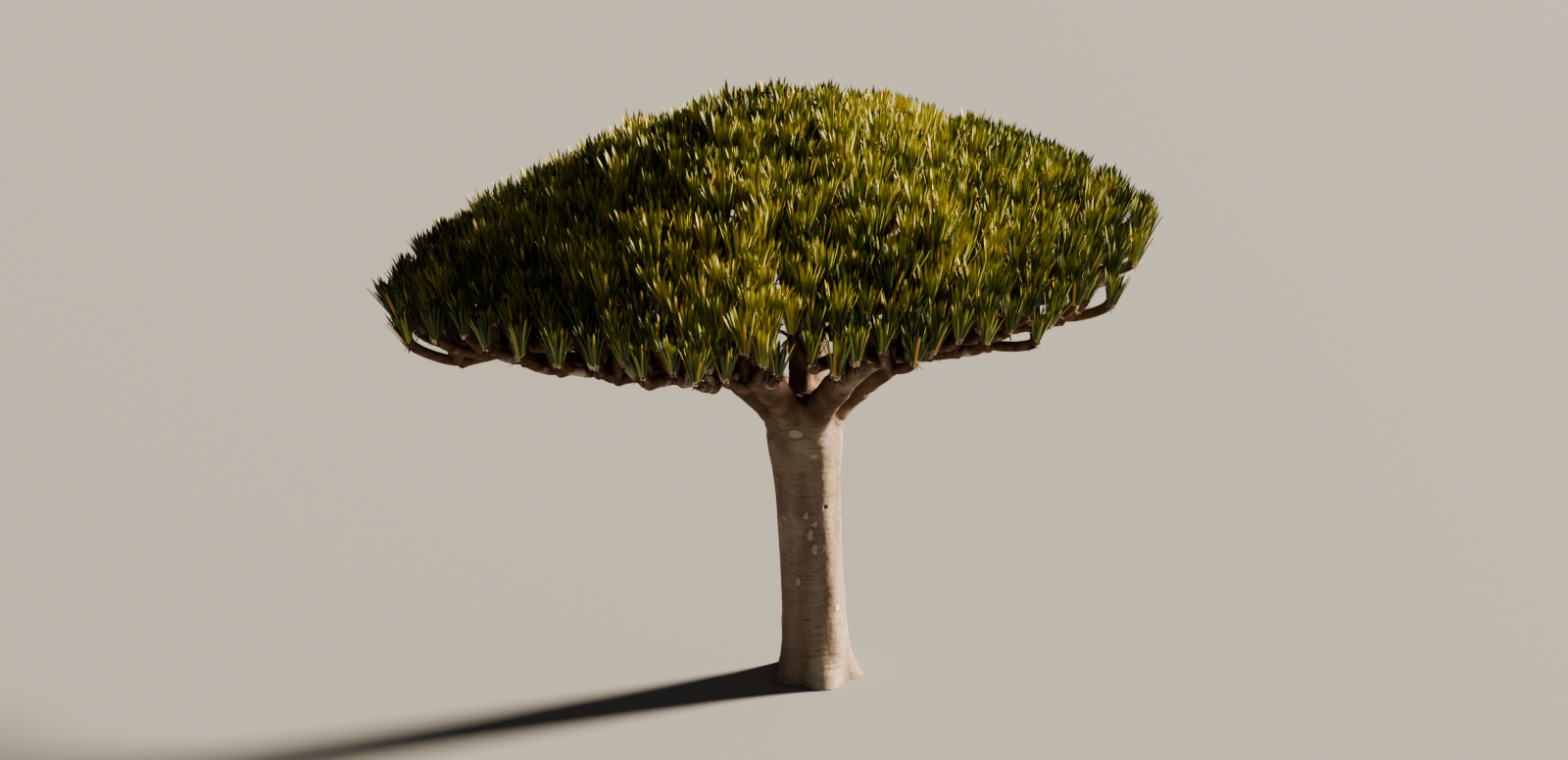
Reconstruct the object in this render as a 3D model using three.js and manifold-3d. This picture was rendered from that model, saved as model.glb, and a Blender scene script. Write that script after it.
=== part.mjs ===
// Dragon blood tree: a stout straight trunk, boughs that fork again and again on the way out,
// and a shallow umbrella crown of upright leaf rosettes.
// Millimetres, +Z up, +X to the right and +Y away from the viewer.
// The origin is the middle of the flat cut under the trunk, at ground level.
import * as THREE from "three";
import { mergeVertices } from "three/addons/utils/BufferGeometryUtils.js";
import Module from "manifold-3d";

const wasm = await Module();
wasm.setup();

const SEED = 20;
const CLEARANCE = 0.35;
const DEGREE = Math.PI / 180;
const UP = new THREE.Vector3(0, 0, 1);

// The trunk, from the ground to the head that the boughs leave.
const TRUNK = {
  height: 2100,
  leanDegrees: 2.6,
  waistRadius: 244,
  headRadius: 262,
  swellFrom: 0.55,
  swellTo: 0.97,
  flareRadius: 84,
  flareHeight: 190,
  flareRibs: 5,
  ribDepth: 0.13,
  ringHeights: [0, 60, 150, 300, 520, 900, 1300, 1650, 1900, 2020],
  capRings: [
    { rise: 10, share: 0.93 },
    { rise: 84, share: 0.72 },
    { rise: 120, share: 0.4 },
  ],
  sides: 18,
};
const HEAD = new THREE.Vector3(-TRUNK.height * Math.tan(TRUNK.leanDegrees * DEGREE), 0, TRUNK.height);

// The dome that the leaf tips reach, measured from the head. Its right side is the higher one,
// and the twist lowers its near right quarter.
const CROWN = {
  centreX: -320,
  centreY: -220,
  halfWidth: 3030,
  halfDepth: 3170,
  rimRise: 1410,
  rimTilt: 280,
  rimTwist: 220,
  domeRise: 1280,
  domePower: 1.37,
  domeEnd: 1.1,
  lobeDepth: 0.035,
  lobes: 5,
  lobePhase: 1,
  lobeSwell: 2,
};

// The masses of foliage: one in the middle and two rings round it.
const MASSES = {
  boughs: 6,
  outerPerBough: 2,
  centreShare: 0.02,
  innerRing: 0.44,
  outerRing: 0.81,
  ringJitter: 0.035,
  turnJitter: 5 * DEGREE,
  outerSpread: 15 * DEGREE,
  firstTurn: 12 * DEGREE,
  spaceReach: 1.12,
  rimCorners: 40,
  gap: 8,
};

// Wood radii follow the number of rosettes that a limb feeds.
const ROSETTES = 133;
const ROSETTES_ON_THE_TREE = 560;
const TIP_RADIUS = 25;
const BRANCH_POWER = 0.36;
const LIMB_TAPER = 0.8;
const NEARLY_UPRIGHT = 0.98;

// The six boughs round the head. Each ends in a rounded knuckle.
const BOUGH = {
  length: 780,
  rise: 0.98,
  firstSteepness: 1.3,
  bend: 0.5,
  rootDepth: 150,
  taper: 0.86,
  sides: 9,
  rings: [
    { share: 0, rounding: 1 },
    { share: 0.35, rounding: 1 },
    { share: 0.7, rounding: 1 },
    { share: 0.94, rounding: 0.92 },
    { share: 1, rounding: 0.62 },
  ],
};

// The upright bough in the middle.
const CENTRE_BOUGH = { bend: 0.4, reach: 0.62, thickening: 1.15 };

// A limb from a knuckle to its mass. It leaves between its bough's heading and its target's.
const LIMB = {
  headingShare: 0.45,
  bend: 0.45,
  leastReach: 0.42,
  mostReach: 0.95,
  reachStep: 0.02,
  margin: 130,
  sides: 7,
  rings: [
    { share: 0, rounding: 1 },
    { share: 0.35, rounding: 1 },
    { share: 0.7, rounding: 1 },
    { share: 1, rounding: 1 },
  ],
};

// Foliage: a thin core follows the dome, and blades stand out of it.
const FOLIAGE = {
  coreTop: 230,
  coreBottom: 400,
  coreEdgeTop: 290,
  coreEdgeBottom: 370,
  coreReach: 0.93,
  coreLeastEdge: 70,
  tipInset: 90,
  nudges: 20,
  nudgeShare: 0.08,
  bladesPerTuft: 5,
  bladeLength: 450,
  shortestBlade: 0.84,
  bladeWidth: 96,
  bladeThickness: 24,
  rootDepth: 345,
  tuftRadius: 66,
  turnJitter: 0.25,
  leanNear: 8 * DEGREE,
  leanFar: 34 * DEGREE,
  rimSway: 0.62,
  leanShares: [1, 0.4, 0],
};

// Twigs inside a mass, from the stem's fork into the core.
const TWIG = {
  stemSides: 6,
  sides: 3,
  thickening: 3,
  levels: 1,
  forkShare: 0.5,
  overlap: 0.4,
  groups: 3,
};

const BARK = new THREE.MeshStandardMaterial({ color: 0x9a8673, roughness: 0.9, metalness: 0 });
const LEAF = new THREE.MeshStandardMaterial({ color: 0x6f8a24, roughness: 0.62, metalness: 0 });

// A repeatable stream of numbers from 0 to 1.
function seededRandom(seed) {
  let state = seed >>> 0;
  return () => {
    state = (Math.imul(state, 1664525) + 1013904223) >>> 0;
    return state / 4294967296;
  };
}

// A closed mesh whose shared corners are merged, as a solid.
function solidFrom(geometry) {
  const bare = geometry.clone();
  bare.deleteAttribute("normal");
  bare.deleteAttribute("uv");
  const merged = mergeVertices(bare, 1e-3);
  return new wasm.Manifold(
    new wasm.Mesh({
      numProp: 3,
      vertProperties: new Float32Array(merged.attributes.position.array),
      triVerts: new Uint32Array(merged.index.array),
    }),
  );
}

function geometryFrom(solid) {
  const mesh = solid.getMesh();
  const geometry = new THREE.BufferGeometry();
  geometry.setAttribute("position", new THREE.BufferAttribute(mesh.vertProperties, 3));
  geometry.setIndex(new THREE.BufferAttribute(mesh.triVerts, 1));
  return geometry;
}

// The solid's largest body, so that no loose scrap stays.
function largestBody(solid) {
  return solid.decompose().reduce((best, body) => (body.volume() > best.volume() ? body : best));
}

function joined(solids) {
  return solids.reduce((whole, solid) => whole.add(solid));
}

// A cylinder whose rings are moved onto stations along a route: each has a point, a heading and a radius.
function tapered(stations, sides, grow = 0, ribs = () => 1) {
  const rings = stations.length - 1;
  const geometry = new THREE.CylinderGeometry(1, 1, rings, sides, rings);
  const position = geometry.attributes.position;
  const chord = stations[rings].point.clone().sub(stations[0].point).normalize();
  const upright = Math.abs(chord.z) > NEARLY_UPRIGHT;
  const side = upright ? new THREE.Vector3(1, 0, 0) : UP.clone().cross(chord).normalize();
  for (let i = 0; i < position.count; i++) {
    const ring = Math.round(position.getY(i) + rings / 2);
    const { point, heading, radius } = stations[ring];
    const normal = side.clone().addScaledVector(heading, -side.dot(heading)).normalize();
    const binormal = heading.clone().cross(normal);
    const turn = Math.atan2(position.getX(i), position.getZ(i));
    const reach = (radius * ribs(turn, point.z) + grow) * Math.hypot(position.getX(i), position.getZ(i));
    const place = point
      .clone()
      .addScaledVector(normal, reach * Math.cos(turn))
      .addScaledVector(binormal, reach * Math.sin(turn));
    if (ring === 0) place.addScaledVector(heading, -grow);
    if (ring === rings) place.addScaledVector(heading, grow);
    position.setXYZ(i, place.x, place.y, place.z);
  }
  return solidFrom(geometry);
}

// Stations along a curve: a limb tapers evenly, and the rounding shapes its end.
function stationsAlong(curve, rings, radius, taper) {
  return rings.map(({ share, rounding }) => ({
    point: curve.getPoint(share),
    heading: curve.getTangent(share),
    radius: radius * THREE.MathUtils.lerp(1, taper, share) * rounding,
  }));
}

function limbRadius(rosettes) {
  return TIP_RADIUS * rosettes ** BRANCH_POWER;
}

// The crown's outline has shallow lobes, so it isn't a true ellipse.
function rimScale(turn) {
  const lobe = Math.sin(CROWN.lobes * turn + CROWN.lobePhase) * Math.cos(CROWN.lobeSwell * turn);
  return 1 + CROWN.lobeDepth * lobe;
}

// A place in plan as shares of the crown's half width and half depth from its middle.
function crownPlace(x, y) {
  return {
    across: (x - HEAD.x - CROWN.centreX) / CROWN.halfWidth,
    deep: (y - HEAD.y - CROWN.centreY) / CROWN.halfDepth,
  };
}

// Share of the way from the crown's middle to its rim.
function rimShare(x, y) {
  const { across, deep } = crownPlace(x, y);
  return Math.hypot(across, deep) / rimScale(Math.atan2(deep, across));
}

function planPoint(share, turn) {
  const reach = share * rimScale(turn);
  return new THREE.Vector2(
    HEAD.x + CROWN.centreX + CROWN.halfWidth * reach * Math.cos(turn),
    HEAD.y + CROWN.centreY + CROWN.halfDepth * reach * Math.sin(turn),
  );
}

// Height of the dome that the leaf tips reach.
function domeHeight(x, y) {
  const share = Math.min(rimShare(x, y), CROWN.domeEnd);
  const { across, deep } = crownPlace(x, y);
  const rim = CROWN.rimRise + CROWN.rimTilt * across + CROWN.rimTwist * across * deep;
  return HEAD.z + rim + CROWN.domeRise * (1 - share ** CROWN.domePower);
}

// One seed point for each mass: the middle first, then each bough's inner mass and its outer ones.
function massSeeds(random) {
  const jitter = (size) => (random() - 0.5) * 2 * size;
  const seeds = [{ name: "centre", bough: null, point: planPoint(MASSES.centreShare, 0) }];
  for (let bough = 0; bough < MASSES.boughs; bough++) {
    const turn = MASSES.firstTurn + (bough * 2 * Math.PI) / MASSES.boughs + jitter(MASSES.turnJitter);
    const share = MASSES.innerRing + jitter(MASSES.ringJitter);
    seeds.push({ name: `inner_${bough + 1}`, bough, point: planPoint(share, turn) });
    for (let k = 0; k < MASSES.outerPerBough; k++) {
      const outerTurn = turn + (2 * k - 1) * MASSES.outerSpread + jitter(MASSES.turnJitter);
      const outerShare = MASSES.outerRing + jitter(MASSES.ringJitter);
      const name = `outer_${bough * MASSES.outerPerBough + k + 1}`;
      seeds.push({ name, bough, point: planPoint(outerShare, outerTurn) });
    }
  }
  return seeds;
}

// The part of a convex outline on the near side of the line through a point.
function clipped(outline, through, outward) {
  const kept = [];
  outline.forEach((corner, i) => {
    const next = outline[(i + 1) % outline.length];
    const here = corner.clone().sub(through).dot(outward);
    const there = next.clone().sub(through).dot(outward);
    if (here <= 0) kept.push(corner);
    if (here < 0 !== there < 0) kept.push(corner.clone().lerp(next, here / (here - there)));
  });
  return kept;
}

// A mass's own space in plan: the points nearer to its seed than to any other, out to a share of the rim.
function cellOutline(seed, seeds, reach) {
  const step = (2 * Math.PI) / MASSES.rimCorners;
  let outline = Array.from({ length: MASSES.rimCorners }, (_, i) => planPoint(reach, i * step));
  for (const other of seeds) {
    if (other === seed) continue;
    const outward = other.point.clone().sub(seed.point).normalize();
    const middle = seed.point.clone().lerp(other.point, 0.5).addScaledVector(outward, -MASSES.gap / 2);
    outline = clipped(outline, middle, outward);
  }
  return outline;
}

// How far inside a convex outline a point lies, from its nearest side.
function insideBy(outline, x, y) {
  return Math.min(
    ...outline.map((corner, i) => {
      const next = outline[(i + 1) % outline.length];
      const edge = next.clone().sub(corner);
      return ((x - corner.x) * -edge.y + (y - corner.y) * edge.x) / edge.length();
    }),
  );
}

// Corners that lie close together are merged, which leaves an outline of few sides.
function simplified(outline, least) {
  const kept = [];
  for (const corner of outline) {
    if (!kept.length || corner.distanceTo(kept[kept.length - 1]) > least) kept.push(corner);
  }
  if (kept[0].distanceTo(kept[kept.length - 1]) < least) kept.pop();
  return kept;
}

function middleOf(points) {
  const sum = points.reduce((total, point) => total.add(point), points[0].clone().multiplyScalar(0));
  return sum.divideScalar(points.length);
}

// Rosette places spread evenly over the crown, each in the cell of its nearest seed.
function rosettePlaces(seeds, cells) {
  const golden = Math.PI * (3 - Math.sqrt(5));
  const places = seeds.map(() => []);
  for (let i = 0; i < ROSETTES; i++) {
    const share = Math.sqrt((i + 0.5) / ROSETTES) * FOLIAGE.coreReach;
    const spot = planPoint(share, i * golden);
    const distances = seeds.map((seed) => seed.point.distanceTo(spot));
    const nearest = distances.indexOf(Math.min(...distances));
    for (let nudge = 0; nudge < FOLIAGE.nudges; nudge++) {
      if (insideBy(cells[nearest], spot.x, spot.y) >= FOLIAGE.tipInset) break;
      spot.lerp(seeds[nearest].point, FOLIAGE.nudgeShare);
    }
    places[nearest].push(spot);
  }
  return places;
}

function onDome(spot, depth) {
  return new THREE.Vector3(spot.x, spot.y, domeHeight(spot.x, spot.y) - depth);
}

// The core: a cushion that follows the dome over the mass's cell, thinner along its edge.
function coreSolid(outline) {
  const middle = middleOf(outline);
  const geometry = new THREE.CylinderGeometry(1, 1, 1, outline.length, 1);
  const position = geometry.attributes.position;
  for (let i = 0; i < position.count; i++) {
    const centre = Math.hypot(position.getX(i), position.getZ(i)) < 0.5;
    const turn = Math.atan2(position.getX(i), position.getZ(i)) / (2 * Math.PI);
    const corner = (Math.round(turn * outline.length) + outline.length) % outline.length;
    const spot = centre ? middle : outline[corner];
    const top = centre ? FOLIAGE.coreTop : FOLIAGE.coreEdgeTop;
    const bottom = centre ? FOLIAGE.coreBottom : FOLIAGE.coreEdgeBottom;
    const place = onDome(spot, position.getY(i) > 0 ? top : bottom);
    position.setXYZ(i, place.x, place.y, place.z);
  }
  return solidFrom(geometry);
}

// A three-sided spike: its point, then the corners of its foot, which is an even triangle.
const FOOT_TURNS = [0, (2 * Math.PI) / 3, (4 * Math.PI) / 3];
const FOOT_DEPTH = 1.5;
const FOOT_WIDTH = Math.sqrt(3);
const SPIKE_CORNERS = [0, 0, 1, ...FOOT_TURNS.flatMap((turn) => [Math.cos(turn), Math.sin(turn), -1])];
const SPIKE_FACES = [0, 1, 2, 0, 2, 3, 0, 3, 1, 1, 3, 2];
const SPIKE_CORNER_REACH = Math.SQRT2;

// One blade: a spike with a keel outside and a flat face inside, from a sunken foot to a point.
function bladeSolid(root, heading, length, turn) {
  const geometry = new THREE.PolyhedronGeometry(SPIKE_CORNERS, SPIKE_FACES, SPIKE_CORNER_REACH, 0);
  const position = geometry.attributes.position;
  const frame = new THREE.Quaternion().setFromUnitVectors(UP, heading);
  const spin = new THREE.Quaternion().setFromAxisAngle(UP, turn);
  for (let i = 0; i < position.count; i++) {
    const local = new THREE.Vector3(
      (position.getX(i) * FOLIAGE.bladeThickness) / FOOT_DEPTH,
      (position.getY(i) * FOLIAGE.bladeWidth) / FOOT_WIDTH,
      position.getZ(i) > 0 ? length : 0,
    );
    const place = local.applyQuaternion(spin).applyQuaternion(frame).add(root);
    position.setXYZ(i, place.x, place.y, place.z);
  }
  return solidFrom(geometry);
}

// A tuft of blades that fan out of one rosette place. A blade that would leave the mass's space is skipped.
function tuftSolids(spot, space, random) {
  const solids = [];
  const firstTurn = random() * 2 * Math.PI;
  const share = rimShare(spot.x, spot.y);
  const away = spot.clone().sub(planPoint(0, 0)).normalize();
  for (let k = 0; k < FOLIAGE.bladesPerTuft; k++) {
    const jitter = (random() * 2 - 1) * FOLIAGE.turnJitter;
    const turn = firstTurn + (k * 2 * Math.PI) / FOLIAGE.bladesPerTuft + jitter;
    const lean = THREE.MathUtils.lerp(FOLIAGE.leanNear, FOLIAGE.leanFar, random());
    const length = FOLIAGE.bladeLength * THREE.MathUtils.lerp(FOLIAGE.shortestBlade, 1, random());
    const out = new THREE.Vector2(Math.cos(turn), Math.sin(turn));
    const foot = spot.clone().addScaledVector(out, FOLIAGE.tuftRadius);
    const root = onDome(foot, FOLIAGE.rootDepth);
    for (const leanShare of FOLIAGE.leanShares) {
      const sway = away.clone().multiplyScalar(FOLIAGE.rimSway * share ** 2);
      sway.addScaledVector(out, Math.tan(lean) * leanShare);
      const heading = new THREE.Vector3(sway.x, sway.y, 1).normalize();
      const tip = root.clone().addScaledVector(heading, length);
      const tipRoom = insideBy(space, tip.x, tip.y);
      const rootRoom = insideBy(space, root.x, root.y) - FOLIAGE.bladeWidth / 2;
      if (Math.min(tipRoom, rootRoom) > CLEARANCE) {
        solids.push(bladeSolid(root, heading, length, turn));
        break;
      }
    }
  }
  return solids;
}

// Splits rosette places into groups by their bearing from the middle of them all.
function groupsOf(places) {
  if (places.length <= TWIG.groups) return places.map((place) => [place]);
  const middle = middleOf(places);
  const bearing = (place) => Math.atan2(place.y - middle.y, place.x - middle.x);
  const sorted = [...places].sort((a, b) => bearing(a) - bearing(b));
  const groups = Array.from({ length: TWIG.groups }, () => []);
  sorted.forEach((place, i) => groups[Math.floor((i * TWIG.groups) / sorted.length)].push(place));
  return groups;
}

// Twigs from a fork towards the rosette places. They fork in threes until the core hides the rest.
function twigSolids(fork, places, levels) {
  return groupsOf(places).flatMap((group) => {
    const last = group.length === 1 || levels === 1;
    const target = middleOf(group.map((place) => onDome(place, (FOLIAGE.coreTop + FOLIAGE.coreBottom) / 2)));
    const end = last ? target : fork.clone().lerp(target, TWIG.forkShare);
    const heading = end.clone().sub(fork).normalize();
    const radius = limbRadius(group.length * TWIG.thickening);
    const tip = end.clone().addScaledVector(heading, last ? 0 : radius * TWIG.overlap);
    const stations = [
      { point: fork, heading, radius },
      { point: tip, heading, radius: radius * LIMB_TAPER },
    ];
    const twig = tapered(stations, TWIG.sides);
    return last ? [twig] : [twig, ...twigSolids(end, group, levels - 1)];
  });
}

// The foliage mass of one cell: a stem from the limb's tip, twigs, the core and the blades, joined.
function massSolid(mass, limbEnd, random) {
  const { places, space, coreOutline, target } = mass;
  const base = limbEnd.point.clone().addScaledVector(limbEnd.heading, CLEARANCE);
  const fork = base.clone().lerp(target, TWIG.forkShare);
  const heading = fork.clone().sub(base).normalize();
  const stem = tapered(
    [
      { point: base, heading: limbEnd.heading, radius: limbEnd.radius },
      { point: fork, heading, radius: limbEnd.radius * LIMB_TAPER },
    ],
    TWIG.stemSides,
  );
  const blades = places.flatMap((spot) => tuftSolids(spot, space, random));
  const parts = [stem, ...twigSolids(fork, places, TWIG.levels), coreSolid(coreOutline), ...blades];
  return largestBody(joined(parts));
}

// Where a limb enters its mass: the first point of its route that lies well inside the cell.
function entryShare(curve, space) {
  for (let share = LIMB.leastReach; share < LIMB.mostReach; share += LIMB.reachStep) {
    const point = curve.getPoint(share);
    if (insideBy(space, point.x, point.y) > LIMB.margin) return share;
  }
  return LIMB.mostReach;
}

// A bough's or limb's route: it leaves along one heading and bends towards its target.
function bentRoute(start, heading, target, bend) {
  const reach = start.distanceTo(target) * bend;
  return new THREE.QuadraticBezierCurve3(start, start.clone().addScaledVector(heading, reach), target);
}

// The part of a route up to a share of it.
function firstPart(curve, share) {
  const near = curve.v0.clone().lerp(curve.v1, share);
  const end = curve.getPoint(share);
  return new THREE.QuadraticBezierCurve3(curve.v0, near, end);
}

function namedMesh(name, solid, material) {
  const mesh = new THREE.Mesh(geometryFrom(solid), material);
  mesh.name = name;
  return mesh;
}

// The trunk: a flared foot on a flat cut, a long waist and a rounded head.
function trunkSolid(grow = 0) {
  const { height, waistRadius, headRadius, flareRadius, flareHeight } = TRUNK;
  const radiusAt = (z) => {
    const swell = THREE.MathUtils.smoothstep(z, height * TRUNK.swellFrom, height * TRUNK.swellTo);
    return waistRadius + (headRadius - waistRadius) * swell + flareRadius * Math.exp(-z / flareHeight);
  };
  const stations = TRUNK.ringHeights.map((z) => ({
    point: new THREE.Vector3((HEAD.x * z) / height, 0, z),
    heading: UP,
    radius: radiusAt(z),
  }));
  for (const { rise, share } of TRUNK.capRings) {
    const point = HEAD.clone().addScaledVector(UP, rise);
    stations.push({ point, heading: UP, radius: headRadius * share });
  }
  const ribs = (turn, z) => {
    const fade = Math.exp(-z / flareHeight);
    return 1 + TRUNK.ribDepth * fade * Math.cos(TRUNK.flareRibs * turn);
  };
  return tapered(stations, TRUNK.sides, grow, ribs);
}

// Cuts from a solid what lies within the clearance of its neighbours, given as grown copies.
function clearOf(solid, grown) {
  return largestBody(grown.reduce((left, neighbour) => left.subtract(neighbour), solid));
}

// Where the masses of foliage stand, and where each keeps its leaves.
function planMasses(random) {
  const seeds = massSeeds(random);
  const cells = seeds.map((seed) => cellOutline(seed, seeds, FOLIAGE.coreReach));
  const places = rosettePlaces(seeds, cells);
  return seeds.map((seed, i) => ({
    name: seed.name,
    bough: seed.bough,
    places: places[i],
    space: cellOutline(seed, seeds, MASSES.spaceReach),
    coreOutline: simplified(cells[i], FOLIAGE.coreLeastEdge),
    target: onDome(middleOf(places[i]), FOLIAGE.coreBottom),
  }));
}

function woodRadius(masses) {
  const tufts = masses.reduce((sum, mass) => sum + mass.places.length, 0);
  return limbRadius((tufts * ROSETTES_ON_THE_TREE) / ROSETTES);
}

function buildTree() {
  const random = seededRandom(SEED);
  const masses = planMasses(random);
  const wood = new THREE.Group();
  const foliage = new THREE.Group();
  const tree = new THREE.Group().add(wood, foliage);
  const grownWood = [trunkSolid(CLEARANCE)];
  wood.add(namedMesh("trunk", trunkSolid(), BARK));

  const addLimb = (name, stations, sides) => {
    wood.add(namedMesh(name, clearOf(tapered(stations, sides), grownWood), BARK));
    grownWood.push(tapered(stations, sides, CLEARANCE));
    return stations[stations.length - 1];
  };
  const addMass = (mass, limbEnd) => {
    foliage.add(namedMesh(`foliage_${mass.name}`, massSolid(mass, limbEnd, random), LEAF));
  };

  const root = HEAD.clone().addScaledVector(UP, -BOUGH.rootDepth);
  const [centre] = masses;
  const centreRoute = firstPart(bentRoute(root, UP, centre.target, CENTRE_BOUGH.bend), CENTRE_BOUGH.reach);
  const centreRadius = woodRadius([centre]) * CENTRE_BOUGH.thickening;
  const centreStations = stationsAlong(centreRoute, LIMB.rings, centreRadius, LIMB_TAPER);
  addMass(centre, addLimb("bough_centre", centreStations, LIMB.sides));

  for (let bough = 0; bough < MASSES.boughs; bough++) {
    const members = masses.filter((mass) => mass.bough === bough);
    const target = middleOf(members.map((mass) => mass.target));
    const flat = new THREE.Vector3(target.x - root.x, target.y - root.y, 0).normalize();
    const heading = flat.clone().addScaledVector(UP, BOUGH.rise).normalize();
    const leaving = flat.clone().addScaledVector(UP, BOUGH.rise * BOUGH.firstSteepness).normalize();
    const end = root.clone().addScaledVector(heading, BOUGH.length + BOUGH.rootDepth);
    const route = bentRoute(root, leaving, end, BOUGH.bend);
    const stations = stationsAlong(route, BOUGH.rings, woodRadius(members), BOUGH.taper);
    addLimb(`bough_${bough + 1}`, stations, BOUGH.sides);
    for (const mass of members) {
      const leave = mass.target.clone().sub(end).normalize().lerp(heading, LIMB.headingShare).normalize();
      const whole = bentRoute(end, leave, mass.target, LIMB.bend);
      const limbRoute = firstPart(whole, entryShare(whole, mass.space));
      const limbStations = stationsAlong(limbRoute, LIMB.rings, woodRadius([mass]), LIMB_TAPER);
      addMass(mass, addLimb(`limb_${mass.name}`, limbStations, LIMB.sides));
    }
  }
  return tree;
}

export default buildTree();
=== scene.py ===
"""Dresses a dragon blood tree with bark in relief, forking branchlets and rosettes of sword leaves.

Lengths are in metres, +Z is up, +X is to the right and +Y is away from the viewer. The wood and the
masses of foliage grow by one seeded rule from a few named sizes: the rule that shapes the tree's solids.
"""

from __future__ import annotations

import logging
import math
from dataclasses import dataclass, field, replace
from enum import Enum
from typing import Iterable, Sequence

import bpy
import numpy as np
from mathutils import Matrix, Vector, noise

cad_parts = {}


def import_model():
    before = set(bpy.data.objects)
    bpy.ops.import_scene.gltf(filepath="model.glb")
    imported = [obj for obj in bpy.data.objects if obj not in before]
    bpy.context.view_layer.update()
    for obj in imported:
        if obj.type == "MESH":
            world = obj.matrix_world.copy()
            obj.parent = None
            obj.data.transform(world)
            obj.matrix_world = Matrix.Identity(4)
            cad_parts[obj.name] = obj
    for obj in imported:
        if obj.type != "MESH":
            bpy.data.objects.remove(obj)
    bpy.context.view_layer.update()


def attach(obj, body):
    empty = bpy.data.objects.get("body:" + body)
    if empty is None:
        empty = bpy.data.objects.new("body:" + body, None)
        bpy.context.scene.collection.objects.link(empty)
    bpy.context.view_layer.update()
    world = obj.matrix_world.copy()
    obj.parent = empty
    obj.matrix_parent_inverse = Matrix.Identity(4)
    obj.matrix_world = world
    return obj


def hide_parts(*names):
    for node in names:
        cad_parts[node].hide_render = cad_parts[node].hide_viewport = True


LOG = logging.getLogger("dragon_blood_tree")
UP = Vector((0.0, 0.0, 1.0))
GOLDEN_ANGLE = math.pi * (3 - math.sqrt(5))
FULL_TURN = 2 * math.pi
TINY = 1e-6

Triple = tuple[float, float, float]
Colour = Triple
# A noise pattern's scale and its detail.
Noise = tuple[float, float]
# The strengths between which one colour gives way to another, and the most of it that does.
Fade = Triple
Span = tuple[float, float]
Faces = list[tuple[int, ...]]
Array = np.ndarray
Socket = bpy.types.NodeSocket
NodeTree = bpy.types.NodeTree
Material = bpy.types.Material
Mesh = bpy.types.Mesh
SceneObject = bpy.types.Object


class SeededRandom:
    """A repeatable stream of numbers from 0 to 1."""

    MULTIPLIER = 1664525
    INCREMENT = 1013904223
    RANGE = 2**32

    def __init__(self, seed: int) -> None:
        """Starts the stream at a seed."""
        self.state = seed

    def draw(self) -> float:
        """Returns the next number."""
        self.state = (self.state * self.MULTIPLIER + self.INCREMENT) % self.RANGE
        return self.state / self.RANGE

    def jitter(self, size: float) -> float:
        """Returns the next number, spread evenly from -size to size."""
        return (self.draw() - 0.5) * 2 * size

    def between(self, low: float, high: float) -> float:
        """Returns the next number, spread evenly from low to high."""
        return low + (high - low) * self.draw()


def mix(low: float, high: float, share: float) -> float:
    """Returns the value at a share of the way from low to high."""
    return low + (high - low) * share


def smoothstep(low: float, high: float, value: Array | float) -> Array | float:
    """Returns 0 below low, 1 above high and a smooth rise between them."""
    share = np.clip((value - low) / (high - low), 0.0, 1.0)
    return share * share * (3 - 2 * share)


def bump(value: Array, centre: float | Array, width: float) -> Array:
    """Returns a bell curve: 1 at the centre, falling off over the width."""
    return np.exp(-(((value - centre) / width) ** 2))


@dataclass(frozen=True)
class TrunkShape:
    """The trunk, from the flat cut at the ground to the head that the boughs leave."""

    height: float = 2.1
    lean: float = math.radians(2.6)
    waist_radius: float = 0.244
    head_radius: float = 0.262
    swell_from: float = 0.55
    swell_to: float = 0.97
    flare_radius: float = 0.084
    flare_height: float = 0.190
    flare_ribs: int = 5
    rib_depth: float = 0.13
    cap_start: float = 2.02
    cap_height: float = 0.20

    @property
    def head(self) -> Vector:
        """Returns the point that the boughs fan out from."""
        return Vector((-self.height * math.tan(self.lean), 0.0, self.height))

    def axis_at(self, z: float) -> Vector:
        """Returns the middle of the trunk at a height."""
        return Vector((self.head.x * min(z / self.height, 1.0), 0.0, z))

    def radius_at(self, z: float) -> float:
        """Returns the trunk's mean radius at a height.

        Args:
            z: Height above the ground.

        Returns:
            The radius, rounded off to nothing at the top of the head.
        """
        swell = float(smoothstep(self.height * self.swell_from, self.height * self.swell_to, z))
        flare = self.flare_radius * math.exp(-z / self.flare_height)
        radius = mix(self.waist_radius, self.head_radius, swell) + flare
        over = max(z - self.cap_start, 0.0) / self.cap_height
        return radius * math.sqrt(max(1 - over * over, 0.0))

    def rib_scale(self, turn: Array, z: float) -> Array:
        """Returns how far the root ribs widen the trunk at a height, for each turn round it."""
        return 1 + self.rib_depth * math.exp(-z / self.flare_height) * np.cos(self.flare_ribs * turn)


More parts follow.
